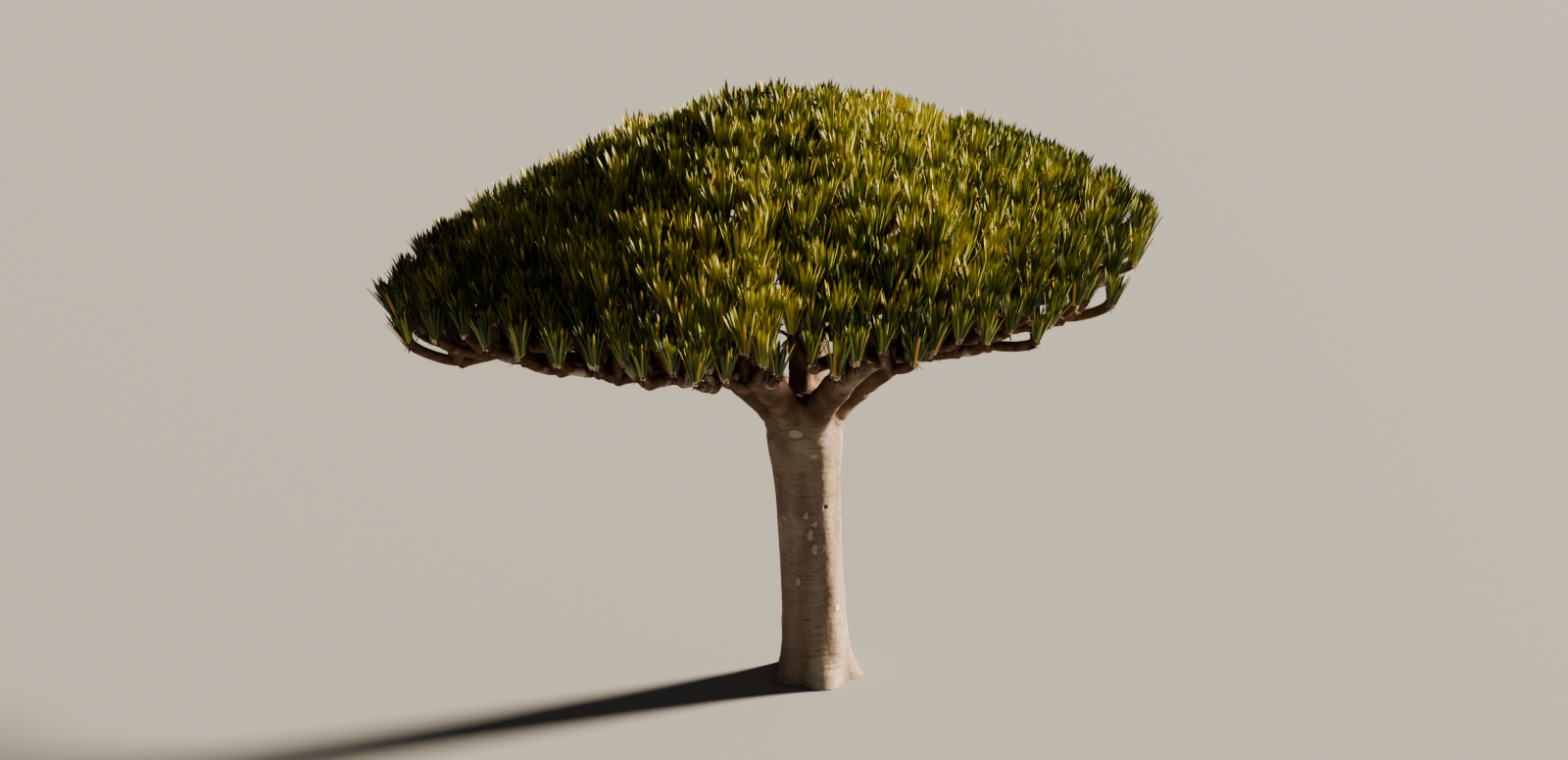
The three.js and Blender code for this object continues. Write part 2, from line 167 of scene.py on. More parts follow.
@dataclass(frozen=True)
class CrownShape:
    """The dome that the leaf tips reach, measured from the head."""

    head: Vector
    centre_x: float = -0.320
    centre_y: float = -0.220
    half_width: float = 3.030
    half_depth: float = 3.170
    rim_rise: float = 1.410
    rim_tilt: float = 0.280
    rim_twist: float = 0.220
    dome_rise: float = 1.280
    dome_power: float = 1.37
    dome_end: float = 1.1
    lobe_depth: float = 0.035
    lobes: int = 5
    lobe_phase: float = 1.0
    lobe_swell: int = 2

    def rim_scale(self, turn: float) -> float:
        """Returns how far the shallow lobes push the rim out at a turn."""
        lobe = math.sin(self.lobes * turn + self.lobe_phase) * math.cos(self.lobe_swell * turn)
        return 1 + self.lobe_depth * lobe

    def place(self, spot: Vector) -> tuple[float, float]:
        """Returns a spot as shares of the crown's half width and half depth from its middle."""
        off_x, off_y = spot.x - self.head.x - self.centre_x, spot.y - self.head.y - self.centre_y
        return off_x / self.half_width, off_y / self.half_depth

    def rim_share(self, spot: Vector) -> float:
        """Returns the share of the way from the crown's middle to its rim."""
        across, deep = self.place(spot)
        return math.hypot(across, deep) / self.rim_scale(math.atan2(deep, across))

    def plan_point(self, share: float, turn: float) -> Vector:
        """Places a spot in plan.

        Args:
            share: Share of the way from the crown's middle to its rim.
            turn: Turn round the crown.

        Returns:
            The spot.
        """
        reach = share * self.rim_scale(turn)
        x = self.head.x + self.centre_x + self.half_width * reach * math.cos(turn)
        y = self.head.y + self.centre_y + self.half_depth * reach * math.sin(turn)
        return Vector((x, y))

    def dome_height(self, spot: Vector) -> float:
        """Measures the dome.

        Args:
            spot: A spot in plan.

        Returns:
            The dome's height over it.
        """
        share = min(self.rim_share(spot), self.dome_end)
        across, deep = self.place(spot)
        rim = self.rim_rise + self.rim_tilt * across + self.rim_twist * across * deep
        return self.head.z + rim + self.dome_rise * (1 - share**self.dome_power)

    def under_dome(self, spot: Vector, depth: float) -> Vector:
        """Returns the point at a depth under the dome over a spot."""
        return Vector((spot.x, spot.y, self.dome_height(spot) - depth))


def middle_of(points: Sequence[Vector]) -> Vector:
    """Returns the mean of some points."""
    return sum(points[1:], points[0]) / len(points)


def clipped(outline: list[Vector], through: Vector, outward: Vector) -> list[Vector]:
    """Keeps the part of a convex outline on the near side of a line.

    Args:
        outline: Corners in order.
        through: A point on the line.
        outward: Direction away from the side that is kept.

    Returns:
        The corners of the part that is left.
    """
    kept = []
    for i, corner in enumerate(outline):
        following = outline[(i + 1) % len(outline)]
        here = (corner - through).dot(outward)
        there = (following - through).dot(outward)
        if here <= 0:
            kept.append(corner)
        if (here < 0) != (there < 0):
            kept.append(corner.lerp(following, here / (here - there)))
    return kept


def inside_by(outline: list[Vector], spot: Vector) -> float:
    """Measures how far inside a convex outline a spot lies.

    Args:
        outline: Corners in order.
        spot: The spot.

    Returns:
        The distance to the nearest side, negative outside.
    """
    depths = []
    for i, corner in enumerate(outline):
        edge = outline[(i + 1) % len(outline)] - corner
        if edge.length > 0:
            depths.append(((spot.x - corner.x) * -edge.y + (spot.y - corner.y) * edge.x) / edge.length)
    return min(depths)


@dataclass
class Rosette:
    """One tuft of leaves at a branchlet's tip."""

    spot: Vector
    base: Vector
    axis: Vector
    size: float
    tone: float
    turn: float
    skirt: float


@dataclass
class Mass:
    """One mass of foliage, with its own space in plan."""

    name: str
    bough: int | None
    seed: Vector
    cell: list[Vector] = field(default_factory=list)
    space: list[Vector] = field(default_factory=list)
    tufts: list[Vector] = field(default_factory=list)
    rosettes: list[Rosette] = field(default_factory=list)


@dataclass(frozen=True)
class CrownPlan:
    """Places the masses of foliage, and the rosettes in each, over the crown."""

    crown: CrownShape
    boughs: int = 6
    outer_per_bough: int = 2
    centre_share: float = 0.02
    inner_ring: float = 0.44
    outer_ring: float = 0.81
    ring_jitter: float = 0.035
    turn_jitter: float = math.radians(5)
    outer_spread: float = math.radians(15)
    first_turn: float = math.radians(12)
    space_reach: float = 1.12
    core_reach: float = 0.93
    rim_corners: int = 40
    gap: float = 0.008
    tufts: int = 133
    tuft_inset: float = 0.090
    nudges: int = 20
    nudge_share: float = 0.08

    def seeds(self, random: SeededRandom) -> list[Mass]:
        """Places the middle of each mass: the centre first, then each bough's inner and outer ones.

        Args:
            random: Draws the jitters.

        Returns:
            The masses, with no outlines yet.
        """
        masses = [Mass("centre", None, self.crown.plan_point(self.centre_share, 0.0))]
        for bough in range(self.boughs):
            turn = self.first_turn + bough * FULL_TURN / self.boughs + random.jitter(self.turn_jitter)
            share = self.inner_ring + random.jitter(self.ring_jitter)
            masses.append(Mass(f"inner_{bough + 1}", bough, self.crown.plan_point(share, turn)))
            for k in range(self.outer_per_bough):
                outer_turn = turn + (2 * k - 1) * self.outer_spread + random.jitter(self.turn_jitter)
                outer_share = self.outer_ring + random.jitter(self.ring_jitter)
                name = f"outer_{bough * self.outer_per_bough + k + 1}"
                masses.append(Mass(name, bough, self.crown.plan_point(outer_share, outer_turn)))
        return masses

    def outline(self, mass: Mass, masses: list[Mass], reach: float) -> list[Vector]:
        """Cuts out the ground nearer to one mass than to any other.

        Args:
            mass: The mass.
            masses: All the masses.
            reach: Share of the rim that the outline may run out to.

        Returns:
            The outline's corners.
        """
        step = FULL_TURN / self.rim_corners
        outline = [self.crown.plan_point(reach, i * step) for i in range(self.rim_corners)]
        for other in masses:
            if other is mass:
                continue
            outward = (other.seed - mass.seed).normalized()
            through = mass.seed.lerp(other.seed, 0.5) - outward * self.gap / 2
            outline = clipped(outline, through, outward)
        return outline

    def nearest(self, spot: Vector, masses: list[Mass]) -> Mass:
        """Returns the mass whose middle is nearest to a spot."""
        return min(masses, key=lambda mass: (mass.seed - spot).length)

    def settled(self, spot: Vector, mass: Mass) -> Vector:
        """Nudges a spot towards its mass's middle until it lies inside its cell.

        Args:
            spot: The first spot.
            mass: The mass that it belongs to.

        Returns:
            The spot that it settles on.
        """
        for _ in range(self.nudges):
            if inside_by(mass.cell, spot) >= self.tuft_inset:
                break
            spot = spot.lerp(mass.seed, self.nudge_share)
        return spot

    def build(self, random: SeededRandom) -> list[Mass]:
        """Places the masses and the coarse tufts that the limbs aim at.

        Args:
            random: Draws the jitters.

        Returns:
            The masses, with their outlines and tufts.
        """
        masses = self.seeds(random)
        for mass in masses:
            mass.cell = self.outline(mass, masses, self.core_reach)
            mass.space = self.outline(mass, masses, self.space_reach)
        for i in range(self.tufts):
            share = math.sqrt((i + 0.5) / self.tufts) * self.core_reach
            spot = self.crown.plan_point(share, i * GOLDEN_ANGLE)
            mass = self.nearest(spot, masses)
            mass.tufts.append(self.settled(spot, mass))
        return masses


@dataclass(frozen=True)
class RosettePlan:
    """Deals out the rosettes over the masses: where each stands, how it leans and its tone, which is dealt
    deeper at the rim as painted shade.
    """

    plan: CrownPlan
    count: int = 692
    side_reach: float = 0.940
    front_reach: float = 0.890
    scatter: float = 0.036
    depth: float = 0.325
    depth_jitter: float = 0.040
    rim_sway: float = 0.26
    lean_jitter: float = 0.10
    sizes: Span = (0.84, 1.08)
    rim: Span = (0.70, 0.90)
    rim_size: float = 0.80
    full_skirt: float = 0.90
    rim_skirt: float = 0.52
    rim_gaps: float = 0.14
    gaps_span: Span = (0.30, -0.45)
    tone: float = 0.5
    tone_scale: float = 0.9
    tone_patch: float = 0.26
    tone_jitter: float = 0.22
    # Painted shade: how far the rim rosettes' tone is lowered.
    rim_painted_shade: float = 0.22

    def build(self, masses: list[Mass], random: SeededRandom) -> None:
        """Adds the rosettes to their masses.

        Args:
            masses: The masses that the rosettes go to.
            random: Draws the scatter, lean and size.
        """
        crown = self.plan.crown
        middle = crown.plan_point(0.0, 0.0)
        for i in range(self.count):
            turn = i * GOLDEN_ANGLE
            reach = mix(self.front_reach, self.side_reach, math.cos(turn) ** 2)
            spot = crown.plan_point(math.sqrt((i + 0.5) / self.count) * reach, turn)
            spot = spot + Vector((random.jitter(self.scatter), random.jitter(self.scatter)))
            mass = self.plan.nearest(spot, masses)
            rim_share = crown.rim_share(spot)
            away = (spot - middle).normalized() * self.rim_sway * rim_share**2
            lean = Vector((random.jitter(self.lean_jitter), random.jitter(self.lean_jitter)))
            axis = Vector((away.x + lean.x, away.y + lean.y, 1.0)).normalized()
            at_rim = float(smoothstep(*self.rim, rim_share))
            low_side = float(smoothstep(*self.gaps_span, crown.place(spot)[0]))
            if random.draw() < self.rim_gaps * at_rim * low_side:
                continue
            shrink = mix(1.0, self.rim_size, at_rim)
            base = crown.under_dome(spot, self.depth * shrink + random.jitter(self.depth_jitter))
            patch = noise.noise(Vector((spot.x, spot.y, 0.0)) * self.tone_scale)
            # Painted shade: rosettes at the rim get a deeper tone, standing for the shade along the crown's
            # rim.
            tone = self.tone - self.rim_painted_shade * at_rim + self.tone_patch * patch
            tone += random.jitter(self.tone_jitter)
            size = random.between(*self.sizes) * shrink
            skirt = mix(self.full_skirt, self.rim_skirt, at_rim)
            turned = random.between(0, FULL_TURN)
            mass.rosettes.append(Rosette(spot, base, axis, size, tone, turned, skirt))


@dataclass(frozen=True)
class Route:
    """A limb's route: a curve that leaves its start towards a control point."""

    start: Vector
    control: Vector
    end: Vector

    @classmethod
    def bent(cls, start: Vector, heading: Vector, target: Vector, bend: float) -> Route:
        """Makes the route that keeps a unit heading for a share of the way, then bends to a target."""
        return cls(start, start + heading * (target - start).length * bend, target)

    def point(self, share: float) -> Vector:
        """Returns the point at a share of the route."""
        rest = 1 - share
        return self.start * rest * rest + self.control * 2 * rest * share + self.end * share * share

    def heading(self, share: float) -> Vector:
        """Returns the unit direction at a share of the route."""
        near = (self.control - self.start) * (1 - share)
        return (near + (self.end - self.control) * share).normalized()

    def part(self, low: float, high: float) -> Route:
        """Cuts out a part of the route.

        Args:
            low: Share of the route where the part starts.
            high: Share of the route where it ends.

        Returns:
            The part, as a route of its own.
        """
        start = self.point(low)
        near = (self.control - self.start).lerp(self.end - self.control, low)
        return Route(start, start + near * (high - low), self.point(high))

    def length(self, steps: int = 24) -> float:
        """Returns the route's length, measured in short steps."""
        points = [self.point(i / steps) for i in range(steps + 1)]
        return sum((b - a).length for a, b in zip(points, points[1:]))


@dataclass
class Limb:
    """One tapering limb: its route, its radius at the root and its taper."""

    name: str
    route: Route
    radius: float
    taper: float
    knuckle: bool = False
    mass: Mass | None = None

    def radius_at(self, share: float) -> float:
        """Returns the radius at a share of the limb's length."""
        return self.radius * mix(1.0, self.taper, share)


@dataclass(frozen=True)
class WoodRule:
    """The rule by which boughs and limbs grow from the head to the masses."""

    trunk: TrunkShape
    crown: CrownShape
    rosettes: int = 560
    tufts: int = 133
    tip_radius: float = 0.025
    branch_power: float = 0.36
    limb_taper: float = 0.8
    bough_length: float = 0.780
    bough_rise: float = 0.98
    first_steepness: float = 1.3
    bough_bend: float = 0.5
    root_depth: float = 0.150
    bough_taper: float = 0.86
    centre_bend: float = 0.4
    centre_reach: float = 0.62
    centre_thickening: float = 1.15
    heading_share: float = 0.45
    limb_bend: float = 0.45
    least_reach: float = 0.42
    most_reach: float = 0.95
    reach_step: float = 0.02
    margin: float = 0.130
    target_depth: float = 0.400

    def wood_radius(self, masses: Iterable[Mass]) -> float:
        """Returns the radius of a limb that feeds some masses."""
        rosettes = sum(len(mass.tufts) for mass in masses) * self.rosettes / self.tufts
        return self.tip_radius * rosettes**self.branch_power

    def target(self, mass: Mass) -> Vector:
        """Returns the point under a mass that its limb aims at."""
        return self.crown.under_dome(middle_of(mass.tufts), self.target_depth)

    def entry_share(self, route: Route, mass: Mass) -> float:
        """Finds where a route enters its mass.

        Args:
            route: The route.
            mass: The mass that it aims at.

        Returns:
            The share of the route at which it lies well inside the mass's space.
        """
        share = self.least_reach
        while share < self.most_reach:
            if inside_by(mass.space, route.point(share).to_2d()) > self.margin:
                return share
            share += self.reach_step
        return self.most_reach

    def centre_bough(self, mass: Mass) -> Limb:
        """Grows the upright bough.

        Args:
            mass: The middle mass, which it feeds.

        Returns:
            The bough, which ends under the mass's middle.
        """
        root = self.trunk.head - UP * self.root_depth
        whole = Route.bent(root, UP, self.target(mass), self.centre_bend)
        radius = self.wood_radius([mass]) * self.centre_thickening
        return Limb("bough_centre", whole.part(0.0, self.centre_reach), radius, self.limb_taper, mass=mass)

    def bough(self, number: int, members: list[Mass]) -> Limb:
        """Returns the bough under three masses.

        Args:
            number: The bough's number, from 0.
            members: The masses that it feeds.

        Returns:
            The bough, which ends in a knuckle.
        """
        root = self.trunk.head - UP * self.root_depth
        aim = middle_of([self.target(mass) for mass in members]) - root
        flat = Vector((aim.x, aim.y, 0.0)).normalized()
        heading = (flat + UP * self.bough_rise).normalized()
        leaving = (flat + UP * self.bough_rise * self.first_steepness).normalized()
        end = root + heading * (self.bough_length + self.root_depth)
        route = Route.bent(root, leaving, end, self.bough_bend)
        return Limb(f"bough_{number + 1}", route, self.wood_radius(members), self.bough_taper, True)

    def limb(self, bough: Limb, mass: Mass) -> Limb:
        """Returns the limb from a bough's knuckle to a mass.

        Args:
            bough: The bough.
            mass: The mass.

        Returns:
            The limb, which ends where it enters the mass.
        """
        end = bough.route.end
        heading = (end - bough.route.start).normalized()
        target = self.target(mass)
        leave = (target - end).normalized().lerp(heading, self.heading_share).normalized()
        whole = Route.bent(end, leave, target, self.limb_bend)
        route = whole.part(0.0, self.entry_share(whole, mass))
        return Limb(f"limb_{mass.name}", route, self.wood_radius([mass]), self.limb_taper, mass=mass)


@dataclass
class Skin:
    """A closed skin: how deep each point lies in a crease or a scar, and its place along the wood."""

    points: Array
    crease: Array
    scar: Array
    place: Array
    faces: Faces

    @staticmethod
    def joined(skins: Sequence[Skin]) -> Skin:
        """Joins several skins.

        Args:
            skins: The skins.

        Returns:
            One skin of all their points and faces.
        """
        faces: Faces = []
        start = 0
        for skin in skins:
            faces.extend(tuple(corner + start for corner in face) for face in skin.faces)
            start += len(skin.points)
        names = ("points", "crease", "scar", "place")
        return Skin(*(np.concatenate([getattr(skin, name) for skin in skins]) for name in names), faces)

    def to_object(self, name: str, material: Material) -> SceneObject:
        """Makes a smooth-shaded object of the skin.

        Args:
            name: The object's name.
            material: Its one material.

        Returns:
            The object, linked to the scene.
        """
        mesh = built_mesh(name, self.points, faces=self.faces)
        carry(mesh, {"crease": self.crease, "scar": self.scar, "place": self.place})
        mesh.materials.append(material)
        mesh.shade_smooth()
        return placed(name, mesh)


class MarkKind(Enum):
    """Kinds of mark: the height of the middle and the rim, the middle's pale and dark, the rim's dark. The
    middle's dark, which only the hole has, and the rim's dark are painted shade.
    """

    HEALED = (-0.003, 0.007, 1.0, 0.0, 0.45)
    FLAKE = (0.005, 0.0, 0.85, 0.0, 0.95)
    HOLE = (-0.016, 0.004, 0.0, 1.0, 0.8)


@dataclass(frozen=True)
class BarkMark:
    """An oval mark on the trunk: a healed scar, a flake or a hole."""

    kind: MarkKind
    height: float
    facing: float
    half_width: float
    half_height: float
    ragged: float = 0.0
    thickness: float = 0.14
    waves: tuple[int, ...] = (2, 3, 5, 7)
    wave_shift: float = 40.0
    edge_span: Span = (1.08, 0.86)
    border_at: float = 1.12
    border_width: float = 0.18

    def press(self, trunk: TrunkShape, points: Array) -> tuple[Array, Array, Array]:
        """Presses the mark into some points.

        Args:
            trunk: The trunk that the mark lies on.
            points: The points, one a row.

        Returns:
            The height that it adds, how pale it makes them and how dark, the dark being painted shade.
        """
        rise, rim, pale, dark, edge = self.kind.value
        sine, cosine = math.sin(self.facing), math.cos(self.facing)
        spot = trunk.axis_at(self.height) + Vector((cosine, sine, 0.0)) * trunk.waist_radius
        off = points - np.array(spot)
        across = (off[:, 1] * cosine - off[:, 0] * sine) / self.half_width
        upward = off[:, 2] / self.half_height
        outward = off[:, 0] * cosine + off[:, 1] * sine
        bearing = np.arctan2(upward, across)
        waves = [np.sin(k * bearing + self.wave_shift * k * k * spot.z) / k for k in self.waves]
        outline = 1 + self.ragged * sum(waves)
        away = np.where(np.abs(outward) < self.thickness, np.hypot(across, upward) / outline, np.inf)
        inside = smoothstep(*self.edge_span, away)
        border = bump(away, self.border_at, self.border_width)
        return rise * inside + rim * border, pale * inside, np.maximum(dark * inside, edge * border)


@dataclass(frozen=True)
class BarkRelief:
    """Sizes of the bark's relief: ring creases, pinched joints, lumps, grain and old scars."""

    crease_gap: float = 0.046
    crease_gaps: Span = (0.45, 1.6)
    crease_depth: float = 0.0034
    crease_depths: Span = (0.35, 1.0)
    crease_width: float = 0.0075
    crease_wander: float = 0.010
    second_wander: float = 0.5
    second_waves: int = 3
    crease_span: float = 0.55
    crease_fade: float = 0.6
    pinch_gap: float = 0.40
    pinch_gaps: Span = (0.7, 1.35)
    pinch_depth: float = 0.062
    pinch_width: float = 0.020
    pinch_crease: float = 0.8
    pinch_swell: float = 0.042
    swell_offset: float = 3.0
    swell_width: float = 2.0
    swell_above: float = 0.7
    lump_size: float = 0.17
    lump_height: float = 0.007
    grain_size: float = 0.035
    grain_height: float = 0.0020
    grain_fractal: tuple[float, float, int] = (0.9, 2.1, 2)
    scars_per_metre: float = 6.0
    scar_radius: float = 0.015
    scar_sizes: Span = (0.6, 1.5)
    scar_squash: float = 1.25
    scar_depth: float = 0.0035
    scar_rim: Triple = (0.45, 1.15, 0.22)
    scar_edge: Span = (1.2, 0.7)
    scar_strengths: Span = (0.3, 1.0)

    def rings(self, along: Array, turn: Array, random: SeededRandom) -> Array:
        """Returns the depth of the ring creases.

        Args:
            along: Length from the root at each ring, as a column.
            turn: Turn round the limb at each side, as a row.
            random: Draws the gaps, wander and strength.

        Returns:
            Crease strength from 0 to 1 at each point.
        """
        strength = np.zeros(np.broadcast_shapes(along.shape, turn.shape))
        place = self.crease_gap * random.draw()
        while place < along.max():
            first, second, third = (random.between(0, FULL_TURN) for _ in range(3))
            wander = np.sin(turn + first) + self.second_wander * np.sin(self.second_waves * turn + second)
            lobes = 1 + round(random.draw())
            fade = np.clip(self.crease_span + self.crease_fade * np.sin(turn * lobes + third), 0, 1)
            depth = random.between(*self.crease_depths)
            centre = place + wander * self.crease_wander * random.draw()
            strength = np.maximum(strength, depth * fade * bump(along, centre, self.crease_width))
            place += self.crease_gap * random.between(*self.crease_gaps)
        return strength

    def joints(self, along: Array, first: float, random: SeededRandom) -> tuple[Array, Array]:
        """Returns the pinched joints between a limb's sausage-like lengths.

        Args:
            along: Length from the root at each ring, as a column.
            first: Where the first joint lies.
            random: Draws the gaps.

        Returns:
            The share of the radius that is added, and the crease strength.
        """
        added = np.zeros_like(along)
        strength = np.zeros_like(along)
        offset, width = self.swell_offset * self.pinch_width, self.swell_width * self.pinch_width
        place = first
        while place < along.max() - self.pinch_gap / 3:
            notch = bump(along, place, self.pinch_width)
            swell = bump(along, place - offset, width)
            swell = swell + self.swell_above * bump(along, place + offset, width)
            added += self.pinch_swell * swell - self.pinch_depth * notch
            strength = np.maximum(strength, self.pinch_crease * notch)
            place += self.pinch_gap * random.between(*self.pinch_gaps)
        return added, strength

    def scars(
        self, along: Array, turn: Array, radius: float, random: SeededRandom
    ) -> tuple[Array, Array]:
        """Returns the old leaf and branch scars.

        Args:
            along: Length from the root at each ring, as a column.
            turn: Turn round the limb at each side, as a row.
            radius: The limb's mean radius.
            random: Draws the places and sizes.

        Returns:
            The height that is added, and the scar strength from 0 to 1.
        """
        rim, rim_at, rim_width = self.scar_rim
        added = np.zeros(np.broadcast_shapes(along.shape, turn.shape))
        strength = np.zeros_like(added)
        for _ in range(int(along.max() * self.scars_per_metre)):
            centre = along.max() * random.draw()
            facing = random.between(-math.pi, math.pi)
            size = self.scar_radius * random.between(*self.scar_sizes)
            round_by = radius * ((turn - facing + math.pi) % FULL_TURN - math.pi)
            away = np.sqrt(((along - centre) * self.scar_squash) ** 2 + round_by**2) / size
            dent = np.clip(1 - away * away, 0, 1)
            added += self.scar_depth * (rim * bump(away, rim_at, rim_width) - dent)
            inside = smoothstep(*self.scar_edge, away)
            strength = np.maximum(strength, random.between(*self.scar_strengths) * inside)
        return added, strength

    def lumps(self, points: Array) -> Array:
        """Raises the soft lumps and the grain.

        Args:
            points: Some points, one a row.

        Returns:
            The height that is added at each.
        """
        heights = np.empty(len(points))
        for i, point in enumerate(points):
            spot = Vector(point)
            soft = noise.noise(spot / self.lump_size)
            fine = noise.fractal(spot / self.grain_size, *self.grain_fractal)
            heights[i] = self.lump_height * soft + self.grain_height * fine
        return heights


@dataclass(frozen=True)
class WoodAxis:
    """The line along the middle of a piece of wood, with its mean radius at each point."""

    centres: Array
    headings: Array
    radius: Array

    @property
    def along(self) -> Array:
        """Returns the length from the root at each ring, as a column."""
        steps = np.linalg.norm(np.diff(self.centres, axis=0), axis=1)
        return np.concatenate([[0.0], np.cumsum(steps)])[:, None]

    def kept(self, chosen: Array) -> WoodAxis:
        """Returns the axis with its chosen rings only."""
        return WoodAxis(self.centres[chosen], self.headings[chosen], self.radius[chosen])

    def without_end(self) -> WoodAxis:
        """Returns the axis up to the middle of its rounded end."""
        return self.kept(self.along[:, 0] <= self.along[-1, 0] - self.radius[-1])

    def measure(self, points: Array, every: int = 4) -> tuple[Array, Array]:
        """Measures how far some points lie outside the wood.

        Args:
            points: The points, one a row.
            every: How many rings each straight stretch that is measured from spans.

        Returns:
            The gap at each point, negative inside the wood, and the unit direction away from its axis.
        """
        gap = np.full(len(points), np.inf)
        away = np.zeros_like(points)
        last = len(self.centres) - 1
        ends = [*range(0, last, every), last]
        for low, high in zip(ends, ends[1:]):
            stretch = self.centres[high] - self.centres[low]
            share = np.clip((points - self.centres[low]) @ stretch / (stretch @ stretch), 0, 1)
            off = points - self.centres[low] - share[:, None] * stretch
            distance = np.maximum(np.linalg.norm(off, axis=1), TINY)
            here = distance - mix(self.radius[low], self.radius[high], share)
            closer = here < gap
            gap[closer] = here[closer]
            away[closer] = off[closer] / distance[closer, None]
        return gap, away


@dataclass(frozen=True)
class Junction:
    """Pieces of wood that grow into one another, with soft crotches between them."""

    members: Sequence[WoodAxis]
    softness: float
    reach: float = 6.0
    fold_depth: float = 0.030
    deepest: float = 0.100
    rounds: int = 6
    longest_step: float = 0.020
    least_slope: float = 0.15
    own_span: Span = (0.5, 0.95)
    fold_span: Span = (0.5, 0.2)

    def measure(self, points: Array) -> tuple[Array, Array, Array]:
        """Measures some points against the common skin.

        Args:
            points: The points, one a row.

        Returns:
            How far each point lies outside the skin, the direction outwards, and how far the skin there is
            the first member's own: 1 where it is all its own, and 0.5 halfway to another member.
        """
        measured = [member.measure(points) for member in self.members]
        gaps = np.array([gap for gap, _ in measured])
        away = np.array([direction for _, direction in measured])
        lowest = gaps.min(axis=0)
        pull = np.exp((lowest - gaps) / self.softness)
        total = pull.sum(axis=0)
        outward = ((pull / total)[..., None] * away).sum(axis=0)
        own = pull[0] / (pull[0] + pull[1:].max(axis=0))
        return lowest - self.softness * np.log(total), outward, own

    def settle(self, points: Array, outward: Array) -> tuple[Array, Array, Array]:
        """Moves the first member's skin onto the common skin, and folds what others cover under it.

        Args:
            points: The skin's points, one a row.
            outward: The unit direction out of the skin at each point.

        Returns:
            The points, the directions, and how far the skin at each point is the member's own.
        """
        points, outward = points.copy(), outward.copy()
        own = np.ones(len(points))
        others = np.min([member.measure(points)[0] for member in self.members[1:]], axis=0)
        near = others < self.reach * self.softness
        if not near.any():
            return points, outward, own
        spots = points[near]
        offset = self.members[0].measure(spots)[0]
        follow = smoothstep(-self.deepest, -self.deepest / 2, self.measure(spots)[0])
        for _ in range(self.rounds):
            gap, away, share = self.measure(spots)
            folded = self.fold_depth * smoothstep(*self.fold_span, share)
            target = offset * smoothstep(*self.own_span, share) - folded
            slope = np.maximum((away**2).sum(axis=1), self.least_slope)
            step = np.clip((target - gap) / slope, -self.longest_step, self.longest_step)
            spots = spots + away * (step * follow)[:, None]
        points[near] = spots
        outward[near] = away / np.maximum(np.linalg.norm(away, axis=1, keepdims=True), TINY)
        own[near] = smoothstep(*self.own_span, share)
        return points, outward, own


